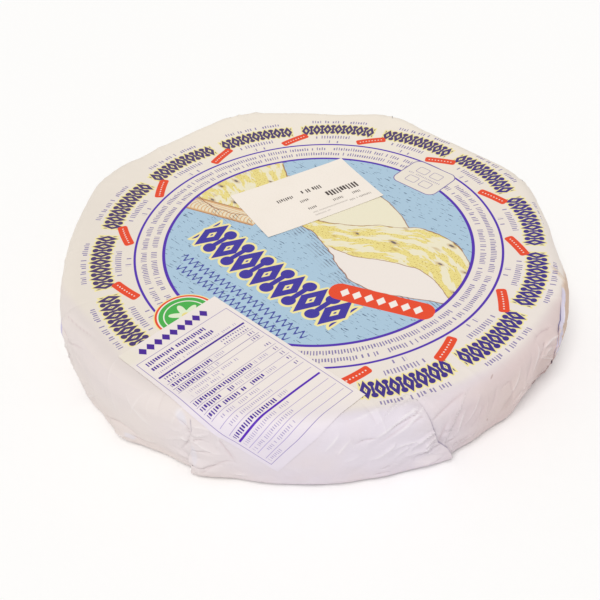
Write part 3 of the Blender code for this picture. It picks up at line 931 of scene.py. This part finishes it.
def frieze(n, colour, u, v, pitch, half_count, half_height, rim, ink):
    """A chain of tall lozenges with pairs of discs between them, navy with a pale yellow edge."""
    half_width = pitch * 0.40
    reach = math.hypot(half_width, half_height)
    cell = n.floor(u / pitch + 0.5)
    near = n.size(u - cell * pitch)
    lozenge = near * (half_height / reach) + n.size(v) * (half_width / reach) - half_width * half_height / reach
    lozenge = n.high(lozenge, (n.size(cell) - half_count - 0.5) * 40.0)
    discs = n.length(near - pitch / 2, n.size(v) - half_height * 0.60) - pitch * 0.235
    bar = n.box(near - pitch / 2, v, pitch * 0.10, half_height * 0.40)
    discs = n.high(n.low(discs, bar), n.size(u) - pitch * (half_count + 0.35))
    shape = n.low(lozenge, discs)
    colour = n.mix(n.inside(n.high(shape - rim, n.size(v) - half_height - rim * 0.6)), colour, INK["outline"])
    colour = n.mix(n.inside(shape), colour, ink)
    inner = n.inside(lozenge + half_width * 0.62) - n.inside(lozenge + half_width * 0.62 + 0.09 * half_height)
    return n.mix(inner, colour, INK["outline"])


def top_material():
    n = Nodes("printed_wrap")
    x, y, px, py = paper_coordinates(n)
    r = n.length(px, py)
    colour, edge = wrap_paper(n, x, y, px, py, r)
    angle = n.math("ARCTAN2", py, px)

    # the picture in the middle: a lake under two soft hills, with fields
    p, q = n.turned(px, py, 0, 0, -44.6)
    pq = n.vector(p, q)
    wobble = n.noise(pq, 0.10, 2.0) * 5.0 - 2.5
    sky = INK["blue"]
    art = n.mix(0.0, sky, sky)
    ripple = n.noise(n.vector(p * 0.35, q * 2.2), 0.55, 2.0)
    hatch = n.ramp(ripple, 0.635, 0.66)
    art = n.mix(hatch * 0.9, art, srgb(74, 94, 122))
    # far hill on the left, rounder, and the one on the right with a lower crest
    crest_a = n.math("SINE", p * 0.036 + 1.9) * 17.0 + 36.0 + wobble * 0.6
    crest_b = n.math("SINE", p * 0.050 - 0.75) * 15.0 + 30.0 + wobble
    shore = n.math("SINE", p * 0.060 + 2.35) * 9.0 + wobble * 0.8 - 4.0
    land = n.inside(shore - q, 0.4)
    hill_a = n.inside(q - crest_a, 0.4) * land
    art = n.mix(hill_a, art, INK["cream"])
    line_a = n.inside(n.size(q - crest_a) - 0.30, 0.3)
    art = n.mix(line_a * n.inside(shore - q) * 0.8, art, INK["brown"])
    hill_b = n.inside(q - crest_b, 0.4) * land
    art = n.mix(hill_b, art, INK["yellow"])
    line_b = n.inside(n.size(q - crest_b) - 0.40, 0.3)
    art = n.mix(line_b * land * 0.85, art, INK["brown"])
    # pale strips of field that follow the slope, and tufts
    slope = q - crest_b
    strips = n.ramp(n.noise(n.vector(p * 0.55, slope * 2.0), 0.10, 3.0, 0.6), 0.50, 0.53)
    art = n.mix(strips * hill_b * 0.95, art, INK["cream"])
    stipple = n.ramp(n.noise(pq, 1.0, 2.0, 0.8), 0.57, 0.64)
    art = n.mix(stipple * hill_b * (1.0 - strips) * 0.85, art, srgb(176, 138, 66))
    bushes = n.spots(n.vector(p * 0.62 + wobble * 0.5, q * 1.7), 0.075) * 13.0 + n.ramp(n.noise(pq, 0.06, 1.0), 0.44, 0.56, 2.2, 0.0)
    art = n.mix(n.inside(bushes - 2.3, 1.4) * hill_b * 0.55, art, srgb(190, 152, 84))
    art = n.mix(n.inside(bushes - 1.1, 0.5) * hill_b * 0.9, art, INK["sketch"])
    # the near bank, pale, with its own crest
    crest_c = n.math("SINE", p * 0.072 + 3.9) * 7.0 + wobble * 0.7 + 8.0
    bank = n.inside(q - crest_c, 0.4) * land * n.ramp(p, 4.0, 10.0)
    art = n.mix(bank, art, srgb(240, 231, 224))
    line_c = n.inside(n.size(q - crest_c) - 0.25, 0.3) * land * n.ramp(p, 4.0, 10.0)
    art = n.mix(line_c * 0.8, art, INK["brown"])
    # a ploughed field of ochre on the left
    field_v = q + 13.0 - (p + 60.0) * 0.30
    field = n.inside(n.high(n.size(field_v) - 6.0, p + 36.0), 0.4)
    art = n.mix(field, art, INK["ochre"])
    furrow = n.inside(0.45 - n.size(n.math("SINE", (p - field_v * field_v * 0.10) * 1.5)), 0.3)
    art = n.mix(furrow * n.inside(n.size(field_v) - 4.2, 0.3) * field * 0.8, art, INK["cream"])
    art = n.mix(n.inside(n.size(n.size(field_v) - 5.6) - 0.35, 0.3) * n.inside(p + 36.0) * 0.7, art, INK["brown"])
    # the shore's shade: slanting strokes on the water just below the land
    below = shore - q
    stroke = n.inside(n.size(n.math("SINE", (q * 1.75 + p * 0.45))) - 0.42, 0.4)
    shade = n.ramp(below, 13.0, 2.0) * n.inside(0.0 - below) * n.ramp(n.noise(n.vector(p * 0.5, q * 0.2), 0.35, 2.0), 0.40, 0.62)
    art = n.mix(stroke * shade * 0.8, art, INK["sketch"])
    art = n.mix(n.inside(n.size(below - 0.1) - 0.32, 0.3) * 0.85, art, INK["brown"])
    disc = n.inside(r - 79.4)
    colour = n.mix(disc, colour, art)

    # a wide frieze across the lower half
    row_u, row_v = n.turned(p, q, -1.5, -35.0, -3.3)
    row_v = row_v - row_u * row_u * 0.0012 + 1.2
    colour = frieze(n, colour, row_u, row_v, 15.1, 3, 12.0, 1.35, INK["navy"])

    # two rows of small waves under it
    wave_u, wave_v = n.turned(p, q, 0.0, -55.5, -3.2)
    ripple_1 = n.size(wave_v - n.math("SINE", wave_u * 1.55) * 1.9) - 0.85
    ripple_2 = n.size(wave_v + 6.9 - n.math("SINE", wave_u * 1.55 + 1.6) * 1.9) - 0.85
    waves = n.inside(n.high(ripple_1, n.size(wave_u) - 45.0)) + n.inside(n.high(ripple_2, n.size(wave_u) - 40.0))
    colour = n.mix(waves, colour, INK["deep_blue"])

    # the rings
    colour = n.mix(n.inside(n.size(r - 79.4) - 0.80), colour, INK["violet"])
    colour = n.mix(n.inside(n.size(r - 94.2) - 0.62), colour, INK["violet"])

    # lines of small print between the rings and round the rim
    small = n.strokes(angle * 84.6, r - 84.4, 1.42, 0.62, 3.0, 3.0)
    small = n.high(small, n.strokes(angle * 89.6, r - 89.6, 1.42, 0.62, 3.0, 303.0))
    colour = n.mix(small * 0.90, colour, INK["grey_violet"])

    # the border: fourteen garlands of lozenges, each with a red tab and lines of small print
    pitch = 360.0 / 14
    # the sheet was stretched a little as it was pulled shut, so the garlands at the back left lie up to 1.8 degrees on
    turn = angle * (180.0 / math.pi / pitch) - (-71.6 / pitch) + (n.math("COSINE", angle - 2.094) + 1.0) * 0.034
    k = n.floor(turn + 0.5)
    local = (turn - k) * math.radians(pitch)
    u = local * 111.5
    v = r - 111.6 + u * u * 0.0028
    ink = n.mix(n.ramp(x - y, -60.0, 130.0), INK["dark_navy"], srgb(60, 42, 134))
    colour = frieze(n, colour, u, v, 6.5, 3, 6.0, 0.70, ink)
    tu, tv = n.turned((n.math("WRAP", turn - 1.3 / pitch, 1.0, 0.0) - 0.5) * math.radians(pitch) * 101.5, r - 101.4, 0.0, 0.0, -27.0)
    tab = n.box(tu, tv, 8.7, 2.6, 1.5)
    colour = n.mix(n.inside(tab), colour, INK["red"])
    studs = n.length(n.math("PINGPONG", tu + 0.9, 0.9) * 1.0, tv) - 0.42
    colour = n.mix(n.inside(n.high(studs, n.size(tu) - 6.6)) * 0.9, colour, INK["white"])
    tiny = n.strokes(local * 120.0, r - 120.2, 1.55, 0.70, 2.8, 11.0) * n.inside(n.size(local) - 0.145, 0.004)
    tiny = n.high(tiny, n.strokes(local * 102.0, r - 102.6, 1.60, 0.72, 3.2, 23.0) * n.inside(n.size(local - 0.02) - 0.105, 0.004))
    tiny = n.high(tiny, n.strokes(local * 97.0, r - 97.4, 1.60, 0.72, 3.0, 31.0) * n.inside(n.size(local - 0.01) - 0.045, 0.004))
    colour = n.mix(tiny * 0.85, colour, INK["grey_violet"])

    # the round green seal
    du, dv = px + 65.3, py + 53.1
    d = n.length(du, dv)
    colour = n.mix(n.inside(d - 15.6), colour, INK["outline"])
    colour = n.mix(n.inside(d - 15.0), colour, INK["red"])
    colour = n.mix(n.inside(d - 13.9), colour, INK["white"])
    colour = n.mix(n.inside(d - 13.2), colour, INK["green"])
    colour = n.mix(n.inside(n.size(d - 10.6) - 0.30), colour, INK["white"])
    petals = d - (n.math("COSINE", n.math("ARCTAN2", dv, du) * 6.0) * 2.4 + 6.0)
    colour = n.mix(n.inside(petals), colour, srgb(226, 236, 206))
    colour = n.mix(n.inside(d - 2.0), colour, INK["yellow"])

    # the red tab over the picture's lower right
    bu, bv = n.turned(p, q, 55.0, -15.6, 19.5)
    big = n.box(bu, bv, 26.6, 6.1, 5.6)
    colour = n.mix(n.inside(big), colour, INK["red"])
    cell = n.floor(bu / 6.2 + 0.5)
    stud = n.size(bu - cell * 6.2) * 0.80 + n.size(bv) * 0.60 - 1.95
    colour = n.mix(n.inside(stud) * n.inside(n.size(cell) - 3.5), colour, INK["white"])

    # a bare stamp with a thin outline
    su, sv = n.turned(p, q, 5.8, 81.8, -0.5)
    stamp = n.box(su, sv, 14.4, 12.6, 5.0)
    colour = n.mix(n.inside(stamp), colour, INK["top_paper"])
    colour = n.mix(n.inside(n.size(stamp + 0.3) - 0.28), colour, INK["grey_violet"])
    frames = n.box(n.size(n.size(su) - 4.6) - 0.0, n.size(sv) - 5.0, 3.3, 2.7, 1.0)
    colour = n.mix(n.inside(n.size(frames) - 0.20) * 0.75, colour, INK["grey_violet"])
    rule = n.strokes(su, sv, 1.2, 0.45, 1.3, 71.0) * n.inside(n.size(su) - 11.0)
    colour = n.mix(rule * 0.7, colour, INK["grey_violet"])

    finish_paper(n, colour, x, y)
    return n.material


def side_material():
    n = Nodes("plain_wrap")
    x, y, px, py = paper_coordinates(n)
    r = n.length(px, py)
    colour, edge = wrap_paper(n, x, y, px, py, r)
    # behind the right-hand pleat: the fold's inside shows pale lilac, and the paper beyond it is stained tan
    along = n.attribute("along")
    lean = n.ramp(along, 138.0, 147.0)
    off = n.math("ARCTAN2", y, x) * (180.0 / math.pi) - n.ramp(along, 131.0, 138.0, -24.3, -31.5) + lean * 2.6
    beyond = off - lean * 2.2
    shown = n.ramp(along, 129.0, 132.0) * n.ramp(along, 157.0, 151.0)
    colour = n.mix(n.ramp(off, -0.1, 0.3) * n.ramp(beyond, 3.0, 2.3) * shown * 0.8, colour, srgb(208, 205, 228))
    colour = n.mix(n.ramp(beyond, 2.4, 3.2) * n.ramp(off, 13.0, 8.0) * shown * 0.9, colour, srgb(204, 176, 154))
    # small marks, and patches of painted light and shade: where, half-length, half-width, turn, strength and colour
    # brownish for specks and darker patches, a pale painted light, dark for painted shadow and cool painted highlights
    brownish, painted_flap_light, dark, painted_cool_highlight = srgb(150, 112, 100), srgb(238, 229, 233), srgb(84, 56, 92), srgb(219, 221, 238)
    violet = srgb(156, 152, 218)
    for cx, cy, long, wide, turn, strength, stain in (
        (-55.0, 156.0, 1.4, 0.5, 20.0, 0.45, brownish), (-53.5, 132.0, 1.5, 0.4, -60.0, 0.45, brownish), (-61.0, 129.0, 0.7, 0.5, 0.0, 0.45, brownish),
        # brownish darker patches low on the right; a pale patch of painted light on the middle pleat's flap, which
        # faces up; a dark line of painted shadow in the right-hand pleat's opening at the foot
        (-49.5, 154.0, 5.0, 4.0, 0.0, 0.12, brownish), (-38.5, 150.0, 9.0, 7.0, 90.0, 0.21, brownish), (-68.8, 164.5, 9.0, 4.5, 90.0, 0.5, painted_flap_light), (-34.6, 155.2, 2.6, 0.7, 100.0, 0.9, dark), (-39.0, 156.5, 10.0, 3.5, 90.0, 0.3, brownish),
        # a violet strip at the pleat on the left side, and a dark line of painted shadow in its opening
        (-155.9, 136.5, 6.0, 1.5, 43.7, 0.6, violet), (-152.2, 150.5, 9.0, 0.5, 36.3, 0.5, dark),
        # broad patches of painted shade: pink beside the middle pleat, on the side that lies under its fold, and greyer
        # on the left side and beside the left-hand pleat
        (-59.5, 146.0, 9.0, 16.0, 0.0, 0.2, srgb(199, 175, 178)), (-139.0, 131.5, 16.0, 32.0, 0.0, 0.3, srgb(218, 208, 210)),
        (-110.0, 149.0, 20.0, 36.0, 0.0, 0.3, srgb(222, 215, 226)),
        # cool painted highlights on the left-hand pleat's folds and on a flap at the left foot
        (-116.3, 135.0, 4.0, 2.2, 35.0, 0.4, painted_cool_highlight), (-114.2, 155.0, 7.0, 1.8, 0.0, 0.25, painted_cool_highlight), (-130.5, 164.0, 4.0, 2.0, 90.0, 0.35, painted_cool_highlight),
    ):
        a = math.radians(cx)
        u, v = n.turned(x, y, cy * math.cos(a), cy * math.sin(a), turn + cx)
        spot = n.length(u / long, v / wide)
        colour = n.mix(n.ramp(spot, 1.3, 0.5) * strength, colour, stain)
    finish_paper(n, colour, x, y)
    return n.material


# ---- labels --------------------------------------------------------------------------------------------------------------
def grid_sheet(name, across, down, cells, place, thick, material):
    """A thin closed sheet: place gives points in metres for coordinates in mm on the sheet."""
    nu, nv = cells
    u = np.linspace(across[0], across[1], nu + 1)
    v = np.linspace(down[0], down[1], nv + 1)
    U, V = np.meshgrid(u, v, indexing="ij")
    flat = place(U.ravel(), V.ravel())
    idx = np.arange((nu + 1) * (nv + 1)).reshape(nu + 1, nv + 1)
    quads = np.stack([idx[:-1, :-1], idx[:-1, 1:], idx[1:, 1:], idx[1:, :-1]], -1).reshape(-1, 4)
    normal = vertex_normals(flat, [quads])
    if normal[:, 2].mean() < 0:
        quads, normal = quads[:, ::-1], -normal
    upper = flat + normal * (thick + 0.03) * MM
    lower = flat + normal * 0.03 * MM
    n = len(flat)
    ring = np.concatenate([idx[:, 0], idx[-1, 1:], idx[-2::-1, -1], idx[0, -2:0:-1]])
    after = np.roll(ring, -1)
    wall = np.stack([ring, after, after + n, ring + n], -1)
    a = np.cross(flat[wall[0, 1]] - flat[wall[0, 0]], lower[wall[0, 0]] - upper[wall[0, 0]])
    middle = flat.mean(0)
    if np.dot(a, flat[wall[0, 0]] - middle) < 0:
        wall = wall[:, ::-1]
    points = np.concatenate([upper, lower])
    faces = [quads, quads[:, ::-1] + n, wall]
    normals = vertex_normals(points, [quads, quads[:, ::-1] + n])
    sheet = np.stack([np.tile(U.ravel(), 2), np.tile(V.ravel(), 2)], -1)
    corners = np.concatenate([f.ravel() for f in faces])
    under = np.concatenate([np.full(quads.size, 0), np.full(quads.size, 1), np.full(wall.size, 1)])
    span = np.array([across[1] - across[0], down[1] - down[0]])
    unit = (sheet[corners] - [across[0], down[0]]) / span
    big = max(span)
    bake = unit * span / big * 0.98 + 0.01
    tiny = unit * 0.06 + [0.93, 0.93]
    if span[0] < span[1]:
        tiny = unit * [0.3, 0.06] + [0.66, 0.93]
    bake = np.where(under[:, None] == 1, tiny, bake)
    if span[0] >= span[1]:
        bake = np.where(under[:, None] == 1, unit * [0.06, 0.3] + [0.93, 0.66], bake)
    edge = np.zeros(len(points))
    return mesh_object(name, points, faces, normals, {"sheet": sheet[corners] / 100.0, "OFBake": bake}, {"rim": edge}, material)


def weight_place(u, v):
    c, s = math.cos(WEIGHT_TURN), math.sin(WEIGHT_TURN)
    a, b = u - WEIGHT_SIZE[0] / 2, WEIGHT_SIZE[1] / 2 - v
    x, y = WEIGHT_AT[0] + a * c - b * s, WEIGHT_AT[1] + a * s + b * c
    theta, d = np.arctan2(y, x), np.hypot(x, y)
    h = relief(theta, d)[0]
    corner = np.hypot(np.minimum(u, WEIGHT_SIZE[0] - u), np.minimum(v, WEIGHT_SIZE[1] - v))
    return placed(theta, d, h + 0.10 + 0.25 * np.exp(-((corner / 6.0) ** 2)))


def table_place(u, v):
    c, s = math.cos(TABLE_TURN), math.sin(TABLE_TURN)
    x, y = TABLE_AT[0] + u * c + v * s, TABLE_AT[1] + u * s - v * c
    theta, d = np.arctan2(y, x), np.hypot(x, y)
    h = relief(theta, d)[0]
    for across, pleat in zip(pleat_state(theta, d), PLEATS):
        h += np.where(across > -1.5, pleat[5] * opened(pleat, d) * (1 - smooth((across - 0.5) / LAP_FADE)), 0.0) * smooth((across + 1.5) / 1.5)
    own = soft_noise(u + 50, v + 50, 9, 80) * 0.05 + facet_noise(u + 50, v + 50, 17, 81) * 0.10 * smooth((d - 112) / 20)
    return placed(theta, d, h + 0.16 + own, foot_flaps(theta, d))


def label_finish(n, colour, u, v, rough=0.5, tooth=0.3):
    where = n.vector(u, v)
    n.put(n.shader.inputs["Base Color"], colour)
    n.put(n.shader.inputs["Roughness"], n.noise(where, 0.4, 3.0) * 0.12 + rough - 0.06)
    n.shader.inputs["Specular IOR Level"].default_value = 0.3
    bump = n.new("ShaderNodeBump")
    bump.inputs["Strength"].default_value = 0.15
    bump.inputs["Distance"].default_value = 0.0003
    n.put(bump.inputs["Height"], n.noise(where, 1.1, 4.0, 0.6) * tooth + n.noise(where, 0.10, 2.0))
    n.tree.links.new(bump.outputs[0], n.shader.inputs["Normal"])


def weight_material():
    n = Nodes("weight_label_print")
    u, v = n.uv("sheet")
    where = n.vector(u, v)
    colour = n.mix(n.ramp(n.noise(where, 0.05, 2.0), 0.35, 0.7) * 0.4, srgb(245, 236, 226), srgb(240, 230, 218))
    dark = srgb(72, 62, 60)
    # (left, right, middle line, height, stroke pitch, stroke width, darkness)
    rows = (
        (18.9, 28.8, 18.8, 2.8, 1.30, 0.70, 0.95),
        (34.6, 47.4, 17.8, 3.4, 1.40, 0.85, 1.0),
        (45.6, 65.6, 26.4, 5.0, 1.80, 1.10, 1.0),
        (29.8, 35.4, 25.2, 2.2, 1.05, 0.50, 0.9),
        (45.8, 52.4, 33.2, 2.2, 1.05, 0.50, 0.85),
        (58.0, 63.4, 33.0, 2.2, 1.05, 0.50, 0.9),
        (30.4, 35.6, 33.2, 2.2, 1.05, 0.50, 0.9),
        (31.0, 52.6, 37.4, 1.2, 0.62, 0.26, 0.60),
        (53.4, 67.0, 38.2, 1.7, 0.85, 0.34, 0.80),
        (30.8, 40.4, 40.1, 1.1, 0.62, 0.26, 0.60),
    )
    for i, (a, b, mid, tall, pitch, wide, ink) in enumerate(rows):
        marks = n.strokes(u - a, v - mid, pitch, wide, tall, 100.0 + 37 * i, 0.06)
        colour = n.mix(marks * n.inside(n.size(u - (a + b) / 2) - (b - a) / 2) * ink, colour, dark)
    label_finish(n, colour, u, v, 0.55)
    return n.material


def table_material():
    n = Nodes("table_label_print")
    u, v = n.uv("sheet")
    ink, thin = srgb(72, 32, 150), srgb(140, 124, 184)
    stain = n.ramp(n.noise(n.vector(u, v), 0.04, 2.0), 0.35, 0.7)
    c, s = math.cos(TABLE_TURN), math.sin(TABLE_TURN)
    out = n.length(u * c + v * s + TABLE_AT[0], u * s - v * c + TABLE_AT[1])
    # painted shade: cream on the top, turning lilac past the rim's bend
    colour = n.mix(n.ramp(out, 117.0, 138.0), srgb(240, 231, 225), srgb(228, 220, 231))
    colour = n.mix(stain * 0.06, colour, srgb(200, 190, 214))
    # painted warm light: a yellowish tint on the corner that lies on the top
    colour = n.mix(n.ramp(n.length(u - 1.0, v + 6.5), 9.0, 3.0) * 0.6, colour, srgb(233, 226, 207))
    frame_box = n.box(u - 27.2, v - 41.3, 27.2, 41.3)
    colour = n.mix(n.inside(n.size(frame_box) - 0.17) * 0.9, colour, thin)
    in_frame = n.inside(frame_box + 1.4)
    rules = None
    for b, half, strength in ((14.1, 0.55, 1.0), (20.0, 0.16, 0.55), (24.3, 0.16, 0.8), (27.8, 0.14, 0.6), (35.6, 0.14, 0.6), (40.0, 0.14, 0.6), (44.5, 0.14, 0.6), (49.0, 0.14, 0.6), (53.7, 0.14, 0.6), (58.6, 0.14, 0.6), (63.9, 0.55, 1.0), (69.2, 0.14, 0.6), (73.8, 0.14, 0.6), (78.4, 0.14, 0.6)):
        one = n.inside(n.size(v - b) - half) * strength
        rules = one if rules is None else n.high(rules, one)
    colour = n.mix(rules * in_frame, colour, n.mix(n.ramp(v, 30.0, 60.0), ink, srgb(84, 16, 180)))
    # the lines of print, from the top: the line's middle, its height, where it starts and ends, how bold it is, where the
    # fainter words after it end, and where the amount at the right starts
    lines = (
        (3.6, 2.7, 2.4, 38.0, 1.0, 38.0, 60.0), (7.9, 2.7, 2.4, 39.0, 1.0, 39.0, 60.0), (11.6, 1.7, 2.4, 2.5, 0.0, 50.0, 60.0),
        (16.2, 1.5, 2.4, 10.0, 0.4, 10.0, 36.0), (18.6, 1.5, 2.4, 10.5, 0.4, 10.5, 36.0), (22.2, 2.5, 2.2, 26.0, 1.0, 33.0, 48.0),
        (26.2, 2.5, 2.2, 19.0, 1.0, 27.0, 47.0), (30.3, 2.2, 4.5, 4.6, 0.0, 34.0, 60.0), (33.4, 2.2, 4.5, 4.6, 0.0, 23.0, 48.5),
        (37.9, 2.5, 2.0, 36.0, 1.0, 46.0, 49.0), (42.3, 2.5, 2.0, 21.0, 1.0, 37.0, 49.0), (46.8, 2.5, 2.0, 35.0, 1.0, 42.0, 49.0),
        (51.4, 2.2, 4.0, 4.1, 0.0, 28.0, 49.0), (56.2, 2.2, 4.0, 4.1, 0.0, 31.0, 60.0), (61.3, 2.5, 2.0, 29.0, 1.0, 35.0, 60.0),
        (66.6, 2.2, 2.0, 2.1, 0.0, 31.0, 60.0), (71.6, 2.2, 2.0, 2.1, 0.0, 31.0, 60.0), (76.2, 2.2, 2.0, 2.1, 0.0, 25.0, 60.0),
        (80.5, 2.2, 2.0, 2.1, 0.0, 12.0, 60.0),
    )
    steps = [n.math("GREATER_THAN", v, (one[0] + two[0]) / 2) for one, two in zip(lines, lines[1:])]

    def by_line(column):
        value = lines[0][column]
        for step, one, two in zip(steps, lines, lines[1:]):
            if one[column] != two[column]:
                value = n.math("MULTIPLY_ADD", step, two[column] - one[column], value)
        return value

    line, tall, left, right, bold, faint, amount = [by_line(k) for k in range(7)]
    dv = v - line
    name = n.strokes(u, dv, 1.35, bold * 0.34 + 0.38, tall, line * 7.0 + 1.0, 0.08)
    colour = n.mix(name * n.inside(left - u) * n.inside(u - right), colour, ink)
    rest = n.strokes(u + 0.3, dv, 1.12, 0.36, tall * 0.86, line * 5.0 + 9.0, 0.14)
    colour = n.mix(rest * n.inside(right + 1.2 - u) * n.inside(u - faint) * 0.75, colour, thin)
    right_side = n.inside(n.high(amount - u, u - 51.6))
    figures = n.strokes(u, dv, 1.45, 0.55, tall * 0.84, line * 3.0 + 5.0, 0.0)
    colour = n.mix(figures * right_side * 0.85, colour, ink)
    # a plain chain of lozenges in the header
    hu, hv = u - 26.0, v + 5.2
    cell = n.floor(hu / 4.6 + 0.5)
    diamond = n.size(hu - cell * 4.6) * 0.80 + n.size(hv) * 0.60 - 1.75
    colour = n.mix(n.inside(diamond) * n.inside(n.size(cell) - 4.5), colour, ink)
    label_finish(n, colour, u, v, 0.52, 0.15)
    return n.material


# ---- put together --------------------------------------------------------------------------------------------------------
def build_object():
    points, faces, face_row, data, rows = build_wrap()
    normals = vertex_normals(points, faces)
    split = next(i for i, (s, _) in enumerate(rows) if s == SPLIT)
    end = len(rows) + 1
    bare = side_material()
    top = cut_piece("wrap_top", points, faces, face_row, data, normals, (-1, split), (0, COLUMNS), top_atlas, top_material())
    front = cut_piece("wrap_front", points, faces, face_row, data, normals, (split, end), (0, COLUMNS // 2), half_atlas(0), bare)
    back = cut_piece("wrap_back", points, faces, face_row, data, normals, (split, end), (COLUMNS // 2, COLUMNS), half_atlas(1), bare)
    weight = grid_sheet("weight_label_sheet", (0.0, WEIGHT_SIZE[0]), (0.0, WEIGHT_SIZE[1]), (71, 44), weight_place, 0.13, weight_material())
    table = grid_sheet("table_label_sheet", TABLE_ACROSS, TABLE_DOWN, (64, 108), table_place, 0.12, table_material())
    for piece, node, slot in ((top, "wrapped_wheel", "wrap_paper"), (front, "wrapped_wheel", "wrap_paper"), (back, "wrapped_wheel", "wrap_paper"), (weight, "weight_label", "weight_label_paper"), (table, "table_label", "table_label_paper")):
        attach(piece, "root")
        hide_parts(node)


def stage():
    """A white floor, light from all around with a broad soft lamp above the front, and the camera."""
    bpy.ops.mesh.primitive_plane_add(size=8.0, location=(0, 0, -0.0004))
    floor = bpy.context.active_object
    floor.name = "floor"
    n = Nodes("floor_white")
    n.shader.inputs["Base Color"].default_value = (0.98, 0.98, 0.98, 1)
    n.shader.inputs["Roughness"].default_value = 0.9
    n.shader.inputs["Specular IOR Level"].default_value = 0.1
    floor.data.materials.append(n.material)

    world = bpy.data.worlds.new("studio")
    bpy.context.scene.world = world
    world.use_nodes = True
    tree = world.node_tree
    light = tree.nodes["Background"]
    light.inputs[0].default_value = (1.0, 0.995, 0.985, 1)
    light.inputs[1].default_value = 0.60
    seen = tree.nodes.new("ShaderNodeBackground")
    seen.inputs[0].default_value = (1, 1, 1, 1)
    seen.inputs[1].default_value = 0.97
    rays = tree.nodes.new("ShaderNodeLightPath")
    both = tree.nodes.new("ShaderNodeMixShader")
    tree.links.new(rays.outputs["Is Camera Ray"], both.inputs[0])
    tree.links.new(light.outputs[0], both.inputs[1])
    tree.links.new(seen.outputs[0], both.inputs[2])
    tree.links.new(both.outputs[0], tree.nodes["World Output"].inputs[0])

    lamp = bpy.data.lights.new("key", "SUN")
    lamp.angle = math.radians(28.0)
    lamp.energy = 1.47
    lamp.color = (1.0, 0.985, 0.965)
    obj = bpy.data.objects.new("key", lamp)
    obj.rotation_euler = Vector((0.16, 0.46, -0.87)).to_track_quat("-Z", "Y").to_euler()
    bpy.context.scene.collection.objects.link(obj)

    # the photograph's camera: 40 degrees down and rolled by a little under three
    pitch, roll = math.radians(39.975), math.radians(-2.779)
    right = np.array([1.0, 0.0, 0.0])
    down = np.array([0.0, -math.sin(pitch), -math.cos(pitch)])
    ahead = np.array([0.0, math.cos(pitch), -math.sin(pitch)])
    cr, sr = math.cos(roll), math.sin(roll)
    image_right = cr * right - sr * down
    image_down = sr * right + cr * down
    matrix = Matrix.Identity(4)
    for i in range(3):
        matrix[i][0], matrix[i][1], matrix[i][2] = image_right[i], -image_down[i], -ahead[i]
    matrix.translation = Vector((-0.00521, -0.43825, 0.36651))
    cam = bpy.data.cameras.new("camera")
    cam.sensor_width = 36.0
    cam.lens = 63.15
    cam.clip_start = 0.01
    camera = bpy.data.objects.new("camera", cam)
    camera.matrix_world = matrix
    bpy.context.scene.collection.objects.link(camera)
    bpy.context.scene.camera = camera
    bpy.context.scene.view_settings.view_transform = "Standard"
    bpy.context.scene.view_settings.look = "None"
    bpy.context.scene.view_settings.exposure = 0.0


build_object()
stage()
